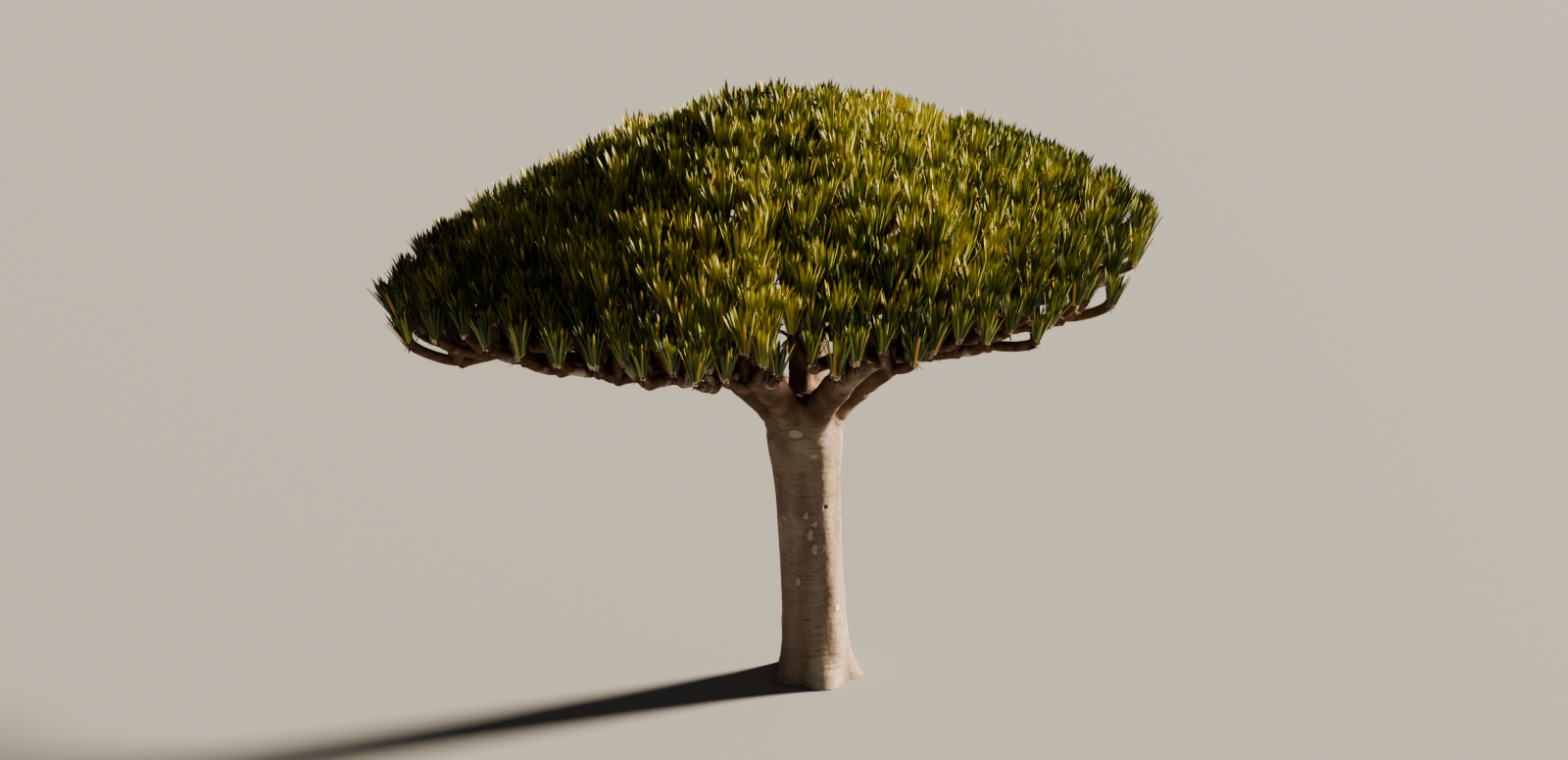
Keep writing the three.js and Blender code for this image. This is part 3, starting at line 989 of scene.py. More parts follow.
@dataclass(frozen=True)
class SweptBark:
    """Sweeps skins with bark relief, drawn from one stream, along axes."""

    relief: BarkRelief
    trunk: TrunkShape
    marks: tuple[BarkMark, ...]
    material: Material
    random: SeededRandom
    ring_step: float = 0.012
    side_width: float = 0.019
    least_sides: int = 20
    least_rings: int = 8
    sunk_taper: float = 0.4
    fade_share: float = 0.5
    end_close: float = 0.985
    knuckle_swell: float = 0.07
    knuckle_back: float = 0.12
    knuckle_width: float = 0.08

    def grid(self, sides: int) -> Array:
        """Returns the turns round a ring, as a row."""
        return (np.arange(sides) * FULL_TURN / sides)[None, :]

    def sweep(
        self,
        axis: WoodAxis,
        radius: Array,
        joints: tuple[Array, Array],
        junctions: Sequence[Junction],
        flat_root: bool = False,
    ) -> Skin:
        """Sweeps one closed skin.

        Args:
            axis: The line that it is swept along.
            radius: The radius at each ring and side.
            joints: What the pinched joints add to the radius, and their crease strength.
            junctions: Where it grows into other wood, with itself as each one's first member.
            flat_root: True where the root is a flat cut.

        Returns:
            The skin.
        """
        rings, sides = radius.shape
        turn = self.grid(sides)
        normal, binormal = self.cross_axes(axis.centres, axis.headings)
        cosine, sine = np.cos(turn), np.sin(turn)
        outward = normal[:, None, :] * cosine[..., None] + binormal[:, None, :] * sine[..., None]
        smooth = (axis.centres[:, None, :] + outward * radius[..., None]).reshape(-1, 3)
        outward = outward.reshape(-1, 3)
        own = np.ones(len(smooth))
        for junction in junctions:
            smooth, outward, share = junction.settle(smooth, outward)
            own = own * share
        own = own.reshape(radius.shape)
        added, joint_crease = joints
        ring_crease = self.relief.rings(axis.along, turn, self.random)
        scar_height, scar = self.relief.scars(axis.along, turn, float(radius.mean()), self.random)
        fade = np.clip(radius / (radius.mean() * self.fade_share), 0, 1)
        height = own * (added * radius + scar_height - self.relief.crease_depth * ring_crease)
        height = (fade * (height + self.relief.lumps(smooth).reshape(radius.shape))).ravel()
        scar = (own * scar).ravel()
        # The crease strength darkens the bark's colour as painted shade.
        crease = (own * np.maximum(ring_crease, joint_crease)).ravel()
        for mark in self.marks:
            pressed, pale, dark = mark.press(self.trunk, smooth)
            height = height + pressed
            scar = np.maximum(scar, pale)
            # The marks' dark rims and the hole's dark middle are painted shade.
            crease = np.maximum(crease * (1 - pale), dark)
        points = smooth + outward * height[:, None]
        if flat_root:
            points[:sides, 2] = axis.centres[0, 2]
        points = np.concatenate([points, axis.centres[:1], axis.centres[-1:]])
        ends = np.zeros(2)
        lengths = np.broadcast_to(axis.along, radius.shape)
        place = np.stack([radius * cosine, radius * sine, lengths], axis=-1).reshape(-1, 3)
        place = np.concatenate([place, np.array([(0, 0, 0), (0, 0, axis.along[-1, 0])])])
        crease, scar = np.concatenate([crease, ends]), np.concatenate([scar, ends])
        return Skin(points, crease, scar, place, self.faces(rings, sides))

    def cross_axes(self, centres: Array, headings: Array) -> tuple[Array, Array]:
        """Returns two unit directions across the axis at each ring.

        Args:
            centres: The middle of each ring.
            headings: The unit direction at each ring.

        Returns:
            The normals and the binormals.
        """
        nearly_upright = 0.98
        chord = centres[-1] - centres[0]
        chord = chord / np.linalg.norm(chord)
        side = np.array((1.0, 0.0, 0.0)) if abs(chord[2]) > nearly_upright else np.cross(UP, chord)
        normal = side[None, :] - headings * (headings @ side)[:, None]
        normal = normal / np.linalg.norm(normal, axis=1, keepdims=True)
        return normal, np.cross(headings, normal)

    def faces(self, rings: int, sides: int) -> Faces:
        """Returns the faces of a swept skin whose last two points are its root and its tip.

        Args:
            rings: Number of rings.
            sides: Points in each ring.

        Returns:
            Quads between the rings and a fan of triangles at each end.
        """
        root = rings * sides
        tip = root + 1
        last = (rings - 1) * sides
        faces: Faces = []
        for side in range(sides):
            beside = (side + 1) % sides
            faces.append((root, beside, side))
            faces.append((tip, last + side, last + beside))
            for ring in range(rings - 1):
                low = ring * sides
                high = low + sides
                faces.append((low + side, low + beside, high + beside, high + side))
        return faces

    def limb_axis(self, limb: Limb, sunk: float = 0.0) -> WoodAxis:
        """Returns the axis of a limb.

        Args:
            limb: The limb.
            sunk: How far its root reaches back into its parent, where it narrows.

        Returns:
            The axis.
        """
        length = limb.route.length()
        rings = max(int((length + sunk) / self.ring_step), self.least_rings) + 1
        shares = np.linspace(-sunk / length, 1, rings)
        centres = np.array([limb.route.point(share) for share in shares])
        headings = np.array([limb.route.heading(share) for share in shares])
        radius = np.array([limb.radius_at(max(share, 0.0)) for share in shares])
        narrowed = 1 - self.sunk_taper * np.clip(-shares * length / max(sunk, TINY), 0, 1)
        return WoodAxis(centres, headings, radius * narrowed)

    def limb_skin(self, limb: Limb, axis: WoodAxis, junctions: Sequence[Junction], buried: float) -> Skin:
        """Sweeps the skin of one limb.

        Args:
            limb: The limb.
            axis: Its axis.
            junctions: Where it grows into other wood, with itself as each one's first member.
            buried: Length of the limb that its parent hides.

        Returns:
            The skin.
        """
        along = axis.along
        length = along[-1, 0]
        round_end = limb.radius_at(1.0)
        over = np.clip((along - (length - round_end)) / round_end, 0, self.end_close)
        knuckle = self.knuckle_swell * bump(along, length - self.knuckle_back, self.knuckle_width)
        swelling = 1 + (knuckle if limb.knuckle else 0.0)
        sides = max(int(FULL_TURN * limb.radius / self.side_width), self.least_sides)
        radius = np.repeat(axis.radius[:, None] * swelling * np.sqrt(1 - over * over), sides, axis=1)
        joints = self.relief.joints(along, buried + self.relief.pinch_width, self.random)
        return self.sweep(axis, radius, joints, junctions)


@dataclass(frozen=True)
class BarkAndShadeFinish:
    """Matt brown bark, greyer down the stem, with pale scars and weathered patches; painted shade darkens
    the creases and the wrinkles' dips, and partly darkens the bark above the stem, under the crown.
    """

    name: str
    base: Colour
    dark: Colour
    pale: Colour
    crease: Colour
    scar: Colour
    stem_base: Colour | None = None
    stem_dark: Colour | None = None
    stem_fade: Fade = (1.86, 2.26, 1.0)
    stem_streaks: Triple = (1.0, 1.0, 0.22)
    ground_fade: Fade = (0.36, 0.62, 1.0)
    patch_noise: Noise = (1.7, 5.0)
    patch_fade: Fade = (0.52, 0.68, 0.60)
    mottle_noise: Noise = (9.0, 6.0)
    mottle_relief: float = 1.4
    grain_noise: Noise = (85.0, 4.0)
    speck_fade: Fade = (0.58, 0.80, 0.45)
    wrinkle_noise: Noise | None = None
    wrinkle_squeeze: Triple = (1.0, 1.0, 6.0)
    wrinkle_fade: Fade = (0.46, 0.28, 0.55)
    wrinkle_relief: float = 2.0
    crease_fade: Fade = (0.05, 0.95, 0.75)
    scar_fade: Fade = (0.1, 0.9, 0.6)
    bump_distance: float = 0.004
    bump_strength: float = 0.55
    roughness: float = 0.88
    specular: float = 0.28

    def material(self) -> Material:
        """Makes the finish.

        Returns:
            The material.
        """
        material = bpy.data.materials.new(self.name)
        bench = NodeBench.of_material(material)
        position = bench.out("Object", "ShaderNodeTexCoord")
        patch = bench.noise(position, self.patch_noise)
        mottle = bench.noise(position, self.mottle_noise)
        grain = bench.noise(position, self.grain_noise)
        ground = bench.blend(mottle, self.dark, self.base, self.ground_fade)
        if self.stem_base and self.stem_dark:
            drawn_out = bench.vector_calc("MULTIPLY", position, self.stem_streaks)
            streaks = bench.noise(drawn_out, self.mottle_noise)
            stem = bench.blend(streaks, self.stem_dark, self.stem_base, self.ground_fade)
            height = bench.out("Z", "ShaderNodeSeparateXYZ", {"Vector": position})
            # Partly painted shade: above the stem the colour fades to the darker bough brown, which also
            # stands for the shade under the crown.
            ground = bench.blend(height, stem, ground, self.stem_fade)
        weathered = bench.blend(patch, ground, self.pale, self.patch_fade)
        speckled = bench.blend(grain, weathered, self.dark, self.speck_fade)
        relief = bench.calc("ADD", grain, bench.calc("MULTIPLY", mottle, self.mottle_relief))
        if self.wrinkle_noise:
            place = bench.vector_calc("MULTIPLY", bench.attribute("place", "Vector"), self.wrinkle_squeeze)
            wrinkle = bench.noise(place, self.wrinkle_noise)
            # Painted shade: the colour darkens in the wrinkles' dips, which the same pattern sinks in the
            # relief.
            speckled = bench.blend(wrinkle, speckled, self.dark, self.wrinkle_fade)
            relief = bench.calc("ADD", relief, bench.calc("MULTIPLY", wrinkle, self.wrinkle_relief))
        crease, scar = bench.attribute("crease"), bench.attribute("scar")
        # Painted shade: the colour darkens in the ring creases, the joints' creases and round the marks'
        # rims.
        creased = bench.blend(crease, speckled, self.crease, self.crease_fade)
        scarred = bench.blend(scar, creased, self.scar, self.scar_fade)
        raised = (self.bump_strength, self.bump_distance, relief)
        bench.finish_material(scarred, self.roughness, self.specular, raised)
        return material


class LeafTone(Enum):
    """The tones that leaves come in, from the lit young ones to the dry ones at a rosette's foot, whose dark
    brown is partly painted shade between the tufts.
    """

    LIME = "leaf_lime"
    GREEN = "leaf_green"
    DEEP = "leaf_deep"
    STRAW = "leaf_straw"
    DRY = "leaf_dry"
    SHEATH = "leaf_sheath"


@dataclass(frozen=True)
class LeafFinish:
    """A stiff leaf's plain tone, with a slight variation and a soft waxy sheen."""

    tone: LeafTone
    base: Colour
    second: Colour
    roughness: float = 0.52
    specular: float = 0.36
    variation_noise: Noise = (7.0, 3.0)
    variation_fade: Fade = (0.38, 0.66, 1.0)
    vein_noise: Noise = (70.0, 2.0)
    bump_distance: float = 0.0015
    bump_strength: float = 0.35

    def material(self) -> Material:
        """Makes the finish.

        Returns:
            The material.
        """
        material = bpy.data.materials.new(self.tone.value)
        bench = NodeBench.of_material(material)
        position = bench.out("Object", "ShaderNodeTexCoord")
        variation = bench.noise(position, self.variation_noise)
        vein = bench.noise(position, self.vein_noise)
        colour = bench.blend(variation, self.base, self.second, self.variation_fade)
        raised = (self.bump_strength, self.bump_distance, vein)
        bench.finish_material(colour, self.roughness, self.specular, raised)
        return material


class Draw(Enum):
    """What a leaf's random numbers are drawn for, each with a seed of its own."""

    TURN = 7
    LEAN = 8
    DRY_LEAN = 9
    SIZE = 10
    TONE = 11
    DRY_SIZE = 12
    STRAW = 13


class NodeBench:
    """Adds and joins nodes in one node tree."""

    def __init__(self, tree: NodeTree) -> None:
        """Starts work on a tree."""
        self.tree = tree

    @classmethod
    def of_material(cls, material: Material) -> NodeBench:
        """Starts work on a material.

        Args:
            material: The material, whose first nodes are cleared away.

        Returns:
            A bench on its tree.
        """
        material.use_nodes = True
        material.node_tree.nodes.clear()
        return cls(material.node_tree)

    @classmethod
    def of_geometry(cls, name: str) -> NodeBench:
        """Starts work on a new geometry tree.

        Args:
            name: The tree's name.

        Returns:
            A bench on the tree, which has a geometry socket at each end.
        """
        tree = bpy.data.node_groups.new(name, "GeometryNodeTree")
        for end in ("INPUT", "OUTPUT"):
            tree.interface.new_socket("Geometry", in_out=end, socket_type="NodeSocketGeometry")
        return cls(tree)

    def add(
        self, kind: str, inputs: dict[str | int, object] | None = None, **settings: object
    ) -> bpy.types.Node:
        """Adds a node.

        Args:
            kind: The node's type name.
            inputs: A value or a socket for each input, by name or by number.
            **settings: The node's own settings, set before its inputs.

        Returns:
            The node.
        """
        node = self.tree.nodes.new(kind)
        for name, value in settings.items():
            setattr(node, name, value)
        for key, value in (inputs or {}).items():
            self.feed(node.inputs[key], value)
        return node

    def feed(self, socket: Socket, value: object) -> None:
        """Feeds an input.

        Args:
            socket: The input.
            value: A value for it, or the output that it is joined to.
        """
        if isinstance(value, Socket):
            self.tree.links.new(value, socket)
        elif isinstance(value, tuple) and len(value) == 3 and socket.type == "RGBA":
            socket.default_value = (*value, 1.0)
        else:
            socket.default_value = value

    def out(
        self, output: str | int, kind: str, inputs: dict[str | int, object] | None = None, **settings: object
    ) -> Socket:
        """Adds a node with some inputs and settings, and returns one of its outputs."""
        return self.add(kind, inputs, **settings).outputs[output]

    def calc(self, operation: str, *values: object) -> Socket:
        """Returns the result of a Math node on some values."""
        return self.out(0, "ShaderNodeMath", dict(enumerate(values)), operation=operation)

    def vector_calc(self, operation: str, *values: object) -> Socket:
        """Returns the vector result of a Vector Math node on some values."""
        return self.out("Vector", "ShaderNodeVectorMath", dict(enumerate(values)), operation=operation)

    def scaled(self, vector: object, factor: object) -> Socket:
        """Returns a vector times a number."""
        inputs = {0: vector, "Scale": factor}
        return self.out("Vector", "ShaderNodeVectorMath", inputs, operation="SCALE")

    def ranged(self, value: Socket, start: Span, end: tuple[object, object]) -> Socket:
        """Returns a value carried over from one range to another."""
        return self.out(0, "ShaderNodeMapRange", dict(enumerate((value, *start, *end))))

    def noise(self, position: Socket, size: Noise) -> Socket:
        """Returns a noise pattern's strength at a position."""
        inputs = {"Vector": position, "Scale": size[0], "Detail": size[1]}
        return self.out(0, "ShaderNodeTexNoise", inputs)

    def blend(self, pattern: Socket, first: object, second: object, fade: Fade) -> Socket:
        """Blends two colours by a pattern.

        Args:
            pattern: The pattern's strength.
            first: The colour where the pattern is weak.
            second: The colour where it is strong.
            fade: How the first colour gives way to the second.

        Returns:
            The colour's socket.
        """
        share = self.ranged(pattern, fade[:2], (0.0, fade[2]))
        return self.out(2, "ShaderNodeMix", {0: share, 6: first, 7: second}, data_type="RGBA")

    def attribute(self, name: str, output: str = "Fac") -> Socket:
        """Returns a number, or a vector, that the surface carries, in a shader."""
        return self.out(output, "ShaderNodeAttribute", attribute_name=name)

    def named(self, name: str, data_type: str = "FLOAT") -> Socket:
        """Returns a value that the points carry, in a geometry tree."""
        inputs = {"Name": name}
        return self.out("Attribute", "GeometryNodeInputNamedAttribute", inputs, data_type=data_type)

    def random(self, low: float, high: float, draw: Draw) -> Socket:
        """Returns a random number for each element, from low to high."""
        inputs = {2: low, 3: high, "Seed": draw.value}
        return self.out(1, "FunctionNodeRandomValue", inputs, data_type="FLOAT")

    def compare(self, operation: str, first: object, second: object) -> Socket:
        """Returns whether a comparison of two numbers holds."""
        return self.out("Result", "FunctionNodeCompare", {0: first, 1: second}, operation=operation)

    def switch(self, chosen: object, first: object, second: object) -> Socket:
        """Returns the second number where something holds, and otherwise the first."""
        inputs = {"Switch": chosen, "False": first, "True": second}
        return self.out("Output", "GeometryNodeSwitch", inputs, input_type="FLOAT")

    def sizes(self, values: dict[str, float]) -> bpy.types.NodeOutputs:
        """Adds named inputs to a geometry tree, whole numbers where their values are whole.

        Args:
            values: Each input's value, by its name.

        Returns:
            The sockets that give the tree's geometry and sizes to its nodes.
        """
        for name, value in values.items():
            kind = "NodeSocketInt" if isinstance(value, int) else "NodeSocketFloat"
            socket = self.tree.interface.new_socket(name, in_out="INPUT", socket_type=kind)
            socket.default_value = value
        return self.add("NodeGroupInput").outputs

    def passed(
        self, kind: str, geometry: Socket, inputs: dict[str, object] | None = None, **settings: object
    ) -> Socket:
        """Returns a geometry passed through a node that has some other inputs and settings."""
        return self.out("Geometry", kind, {"Geometry": geometry, **(inputs or {})}, **settings)

    def finish_material(
        self, colour: object, roughness: float, specular: float, relief: Sequence[object] = ()
    ) -> None:
        """Adds the material's shader and its output.

        Args:
            colour: The base colour.
            roughness: The roughness.
            specular: The specular level.
            relief: The relief's strength, its depth and its pattern, if it has one.
        """
        inputs = {"Base Color": colour, "Roughness": roughness, "Specular IOR Level": specular}
        if relief:
            sizes = dict(zip(("Strength", "Distance", "Height"), relief))
            inputs["Normal"] = self.out("Normal", "ShaderNodeBump", sizes)
        shader = self.out("BSDF", "ShaderNodeBsdfPrincipled", inputs)
        self.add("ShaderNodeOutputMaterial", {"Surface": shader})


class RosetteBench(NodeBench):
    """A bench for a rosette's leaves, with the named sizes, each leaf's place in the rosette and its age.

    Attributes:
        given: The tree's named sizes.
        share: The leaf's share of the way from the innermost to the outermost.
        dry: Whether the leaf is a dry one.
    """

    given: bpy.types.NodeOutputs
    share: Socket
    dry: Socket


def settled_piece(name: str, mesh: Mesh, tree: NodeTree, values: dict[str, object]) -> SceneObject:
    """Runs a geometry tree on a mesh and keeps the result as a plain object.

    Args:
        name: The finished piece's name.
        mesh: The mesh that the tree starts from.
        tree: The geometry tree.
        values: The tree's named sizes that are set here, by name.

    Returns:
        The finished piece, which has no modifier.
    """
    seed_object = placed(f"{name}_seed", mesh)
    modifier = seed_object.modifiers.new(tree.name, "NODES")
    modifier.node_group = tree
    for item in tree.interface.items_tree:
        if item.item_type == "SOCKET" and item.in_out == "INPUT" and item.name in values:
            modifier[item.identifier] = values[item.name]
    depsgraph = bpy.context.evaluated_depsgraph_get()
    evaluated = seed_object.evaluated_get(depsgraph)
    finished = bpy.data.meshes.new_from_object(evaluated, preserve_all_data_layers=True, depsgraph=depsgraph)
    finished.name = name
    seed_object.modifiers.remove(modifier)
    bpy.data.objects.remove(seed_object)
    bpy.data.meshes.remove(mesh)
    return placed(name, finished)


def built_mesh(name: str, points: Iterable, edges: Sequence = (), faces: Sequence = ()) -> Mesh:
    """Makes a mesh.

    Args:
        name: Its name.
        points: Its points.
        edges: Its loose edges.
        faces: Its faces.

    Returns:
        The mesh.
    """
    mesh = bpy.data.meshes.new(name)
    mesh.from_pydata([tuple(point) for point in points], edges, faces)
    return mesh


def carry(mesh: Mesh, attributes: dict[str, Sequence[object] | Array]) -> None:
    """Stores attributes on a mesh's points.

    Args:
        mesh: The mesh.
        attributes: One number, or one vector, for each point, by the attribute's name.
    """
    for name, values in attributes.items():
        numbers = np.array(values, dtype=float)
        kind, key = ("FLOAT_VECTOR", "vector") if numbers.ndim > 1 else ("FLOAT", "value")
        mesh.attributes.new(name, kind, "POINT").data.foreach_set(key, numbers.ravel())


def placed(name: str, data: bpy.types.ID) -> SceneObject:
    """Makes an object and links it to the scene.

    Args:
        name: Its name.
        data: Its mesh, light or camera.

    Returns:
        The object.
    """
    made = bpy.data.objects.new(name, data)
    bpy.context.scene.collection.objects.link(made)
    return made


def report_piece(piece: SceneObject, nodes: Sequence[str] = ()) -> None:
    """Hands a finished piece over to the frame and logs it.

    Args:
        piece: The piece.
        nodes: The solids that it stands for.
    """
    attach(piece, "root")
    if nodes:
        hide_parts(*nodes)
    triangles = sum(len(polygon.vertices) - 2 for polygon in piece.data.polygons)
    LOG.info("%s: %d triangles", piece.name, triangles)


@dataclass(frozen=True)
class Trunk:
    """The trunk's bark: a flared foot, ring creases, scars, and a head that swells under the boughs."""

    shape: TrunkShape
    bark: SweptBark
    sides: int = 132
    ring_step: float = 0.0078
    swell_from: float = 1.58
    swell_height: float = 0.016
    swell_width: float = 0.34
    flute_depth: float = 0.006
    flutes: int = 7
    flute_twist: float = 1.3
    head_flute: float = 0.4
    cap_close: float = 0.9985
    softness: float = 0.045

    @property
    def axis(self) -> WoodAxis:
        """Makes the trunk's axis.

        Returns:
            The axis, from the ground to the top of the head.
        """
        top = self.shape.cap_start + self.shape.cap_height
        heights = np.linspace(0.0, top * self.cap_close, int(top / self.ring_step))
        centres = np.array([self.shape.axis_at(z) for z in heights])
        radius = np.array([self.shape.radius_at(z) for z in heights])
        return WoodAxis(centres, np.tile(np.array(UP), (len(heights), 1)), radius)

    @property
    def body(self) -> WoodAxis:
        """Returns the trunk's axis up to the middle of its rounded cap, for measuring gaps to it."""
        axis = self.axis
        return axis.kept(axis.centres[:, 2] < self.shape.height - self.shape.head_radius / 2)

    def build(self, bearings: Sequence[float], boughs: Sequence[WoodAxis]) -> None:
        """Builds the trunk's skin.

        Args:
            bearings: The turns at which boughs leave the head.
            boughs: The axes of the boughs.
        """
        axis = self.axis
        turn = self.bark.grid(self.sides)[0]
        radius = np.array([self.ring(z, turn, bearings) for z in axis.centres[:, 2]])
        no_joints = (np.zeros_like(axis.along), np.zeros_like(axis.along))
        head = Junction([self.body, *boughs], self.softness)
        skin = self.bark.sweep(axis, radius, no_joints, [head], flat_root=True)
        report_piece(skin.to_object("bark_trunk", self.bark.material), ["trunk"])

    def ring(self, z: float, turn: Array, bearings: Sequence[float]) -> Array:
        """Returns the trunk's radius round one ring.

        Args:
            z: Height above the ground.
            turn: The turns round the ring.
            bearings: The turns at which boughs leave the head.

        Returns:
            The radius at each turn.
        """
        reach = float(smoothstep(self.swell_from, self.shape.cap_start, z))
        swell = np.zeros_like(turn)
        for bearing in bearings:
            off = (turn - bearing + math.pi) % FULL_TURN - math.pi
            swell = np.maximum(swell, bump(off, 0.0, self.swell_width))
        mean = self.shape.radius_at(z)
        flute = self.flute_depth * np.sin(self.flutes * turn + self.flute_twist * z)
        flute = flute * mix(1.0, self.head_flute, reach)
        added = (reach * self.swell_height * swell + flute) * min(mean / self.shape.waist_radius, 1)
        return mean * self.shape.rib_scale(turn, z) + added


@dataclass(frozen=True)
class Boughs:
    """The bark of the seven boughs and their limbs: one piece for each bough."""

    bark: SweptBark
    bough_buried: float = 0.30
    limb_buried: float = 0.16
    limb_sunk: float = 0.09
    head_softness: float = 0.045
    fork_softness: float = 0.024

    def build(self, family: list[Limb], trunk: WoodAxis, boughs: dict[str, WoodAxis]) -> None:
        """Builds the skin of one bough and its limbs.

        Args:
            family: The bough, then its limbs.
            trunk: The trunk's axis.
            boughs: The axis of each bough, by its name, up to the middle of its rounded end.
        """
        bough, *limbs = family
        axes = {limb.name: self.bark.limb_axis(limb, self.limb_sunk) for limb in limbs}
        cores = {name: axis.without_end() for name, axis in axes.items()}
        cores[bough.name] = boughs[bough.name]
        beside = [axis for name, axis in boughs.items() if name != bough.name]
        junctions = [Junction([boughs[bough.name], trunk, *beside], self.head_softness)]
        if limbs:
            junctions.append(self.fork(bough.name, cores))
        bark = self.bark
        skins = [bark.limb_skin(bough, bark.limb_axis(bough), junctions, self.bough_buried)]
        for limb in limbs:
            junctions = [self.fork(limb.name, cores)]
            skins.append(bark.limb_skin(limb, axes[limb.name], junctions, self.limb_buried))
        piece = Skin.joined(skins).to_object(f"bark_{bough.name}", bark.material)
        report_piece(piece, [limb.name for limb in family])

    def fork(self, name: str, cores: dict[str, WoodAxis]) -> Junction:
        """Returns the fork at a knuckle, with one of its members first."""
        others = [core for other, core in cores.items() if other != name]
        return Junction([cores[name], *others], self.fork_softness)


@dataclass
class Branchlet:
    """One short sausage-like length of wood between two forks."""

    route: Route
    radius: float
    last: bool


@dataclass(frozen=True)
class Branchlets:
    """The branchlets of a mass: inside they fork in twos and threes, and to the rim they run low."""

    rule: WoodRule
    crown: CrownShape
    whorl: int = 3
    groups: int = 3
    pairs_below: int = 13
    first_fork: float = 0.18
    fork_share: float = 0.52
    fork_drop: float = 0.24
    whorl_drop: float = 0.185
    rim_from: float = 0.74
    rim_group: float = 2.9
    rim_drop: float = 0.180
    rim_drop_tilt: float = 0.040
    rim_pull: float = 0.15
    rim_leave: Span = (0.22, 0.62)
    rim_least_leave: float = 0.06
    rim_leave_step: float = 0.04
    rim_rise: float = 0.05
    rim_turn: float = 0.30
    joint_gap: float = 0.34
    tip_radius: float = 0.040
    branch_power: float = 0.225
    whorl_share: float = 0.82
    bend: float = 0.42
    arrival: float = 0.50
    longest_arrival: float = 0.095
    stout_step: float = 0.026
    slender_step: float = 0.040
    stout_sides: int = 12
    slender_sides: int = 7
    overlap: float = 0.035
    stem_swell: float = 1.04
    waist: float = 0.05
    pinch: Span = (0.20, 0.07)
    knuckle: Triple = (0.10, 0.93, 0.09)
    end_from: float = 0.94
    end_close: float = 0.75
    least_steps: int = 5
    measure_steps: int = 8
    wrinkle: float = 0.0022
    wrinkle_scale: float = 30.0

    def groups_of(self, rosettes: list[Rosette]) -> list[list[Rosette]]:
        """Splits rosettes into groups by their bearing from the middle of them all.

        Args:
            rosettes: The rosettes that one fork feeds.

        Returns:
            Single rosettes where there are few, and otherwise two or three groups.
        """
        if len(rosettes) <= self.whorl:
            return [[rosette] for rosette in rosettes]
        count = 2 if len(rosettes) < self.pairs_below else self.groups
        middle = middle_of([rosette.spot for rosette in rosettes])

        def bearing(rosette: Rosette) -> float:
            """Returns the rosette's bearing from the middle."""
            return math.atan2(rosette.spot.y - middle.y, rosette.spot.x - middle.x)

        ordered = sorted(rosettes, key=bearing)
        groups: list[list[Rosette]] = [[] for _ in range(count)]
        for i, rosette in enumerate(ordered):
            groups[i * count // len(ordered)].append(rosette)
        return groups

    def grow(self, start: Vector, heading: Vector, rosettes: list[Rosette]) -> list[Branchlet]:
        """Grows the branchlets from one fork.

        Args:
            start: The fork.
            heading: The direction in which the wood reaches the fork.
            rosettes: The rosettes that it feeds.

        Returns:
            The branchlets, down to the rosettes.
        """
        grown = []
        for group in self.groups_of(rosettes):
            if len(group) == 1:
                grown.append(self.tip(start, group[0]))
                continue
            end = self.fork_point(start, group)
            leave = (end - start).normalized().lerp(heading, self.bend).normalized()
            route = Route.bent(start, leave, end, self.bend)
            grown.append(Branchlet(route, self.radius(len(group)), False))
            grown.extend(self.grow(end, route.heading(1.0), group))
        return grown

    def radius(self, rosettes: int) -> float:
        """Returns the radius of a branchlet that feeds a number of rosettes."""
        return self.tip_radius * rosettes**self.branch_power

    def tip(self, start: Vector, rosette: Rosette) -> Branchlet:
        """Grows a last branchlet.

        Args:
            start: The fork that it leaves.
            rosette: The rosette whose foot it reaches.

        Returns:
            The branchlet.
        """
        arrival = min((rosette.base - start).length * self.arrival, self.longest_arrival)
        route = Route(start, rosette.base - rosette.axis * arrival, rosette.base)
        return Branchlet(route, self.radius(1), True)

    def grow_to_rim(self, limb: Limb, rosettes: list[Rosette]) -> list[Branchlet]:
        """Grows long, low branchlets from a limb's middle to the rosettes at the rim.

        Args:
            limb: The limb.
            rosettes: The rosettes at the rim.

        Returns:
            The branchlets, in lengths with a joint between them.
        """
        along = (limb.route.end - limb.route.start).to_2d()

        def bearing(rosette: Rosette) -> float:
            """Returns the rosette's bearing from the limb's root, off the limb's own."""
            return along.angle_signed((rosette.spot - limb.route.start.to_2d()).to_2d())

        ordered = sorted(rosettes, key=bearing)
        count = math.ceil(len(ordered) / self.rim_group)
        grown = []
        for number in range(count):
            group = ordered[number * len(ordered) // count : (number + 1) * len(ordered) // count]
            middle = middle_of([rosette.base for rosette in group])
            drop = self.rim_drop - self.rim_drop_tilt * self.crown.place(middle)[0]
            height = min(rosette.base.z for rosette in group) - drop
            leaving = mix(*self.rim_leave, (number * self.rim_turn) % 1.0)
            while leaving > self.rim_least_leave and limb.route.point(leaving).z > height - self.rim_rise:
                leaving -= self.rim_leave_step
            start = limb.route.point(leaving)
            outward = Vector((middle.x - start.x, middle.y - start.y, 0.0)).normalized()
            end = middle - outward * self.rim_pull
            end.z = max(height, start.z + self.rim_rise)
            along_limb = limb.route.heading(leaving)
            leave = (end - start).normalized().lerp(along_limb, self.bend / 2).normalized()
            route = Route.bent(start, leave, end, self.bend)
            joints = max(round(route.length() / self.joint_gap), 1)
            parts = [route.part(i / joints, (i + 1) / joints) for i in range(joints)]
            grown.extend(Branchlet(part, self.radius(len(group)), False) for part in parts)
            grown.extend(self.tip(end, rosette) for rosette in group)
        return grown

    def fork_point(self, start: Vector, group: list[Rosette]) -> Vector:
        """Places the next fork.

        Args:
            start: The fork before it.
            group: The rosettes that it feeds.

        Returns:
            The fork.
        """
        middle = middle_of([rosette.base for rosette in group])
        if len(group) <= self.whorl:
            lean = middle_of([rosette.axis for rosette in group]).normalized()
            return start.lerp(middle - lean * self.whorl_drop, self.whorl_share)
        return start.lerp(middle - UP * self.fork_drop, self.fork_share)

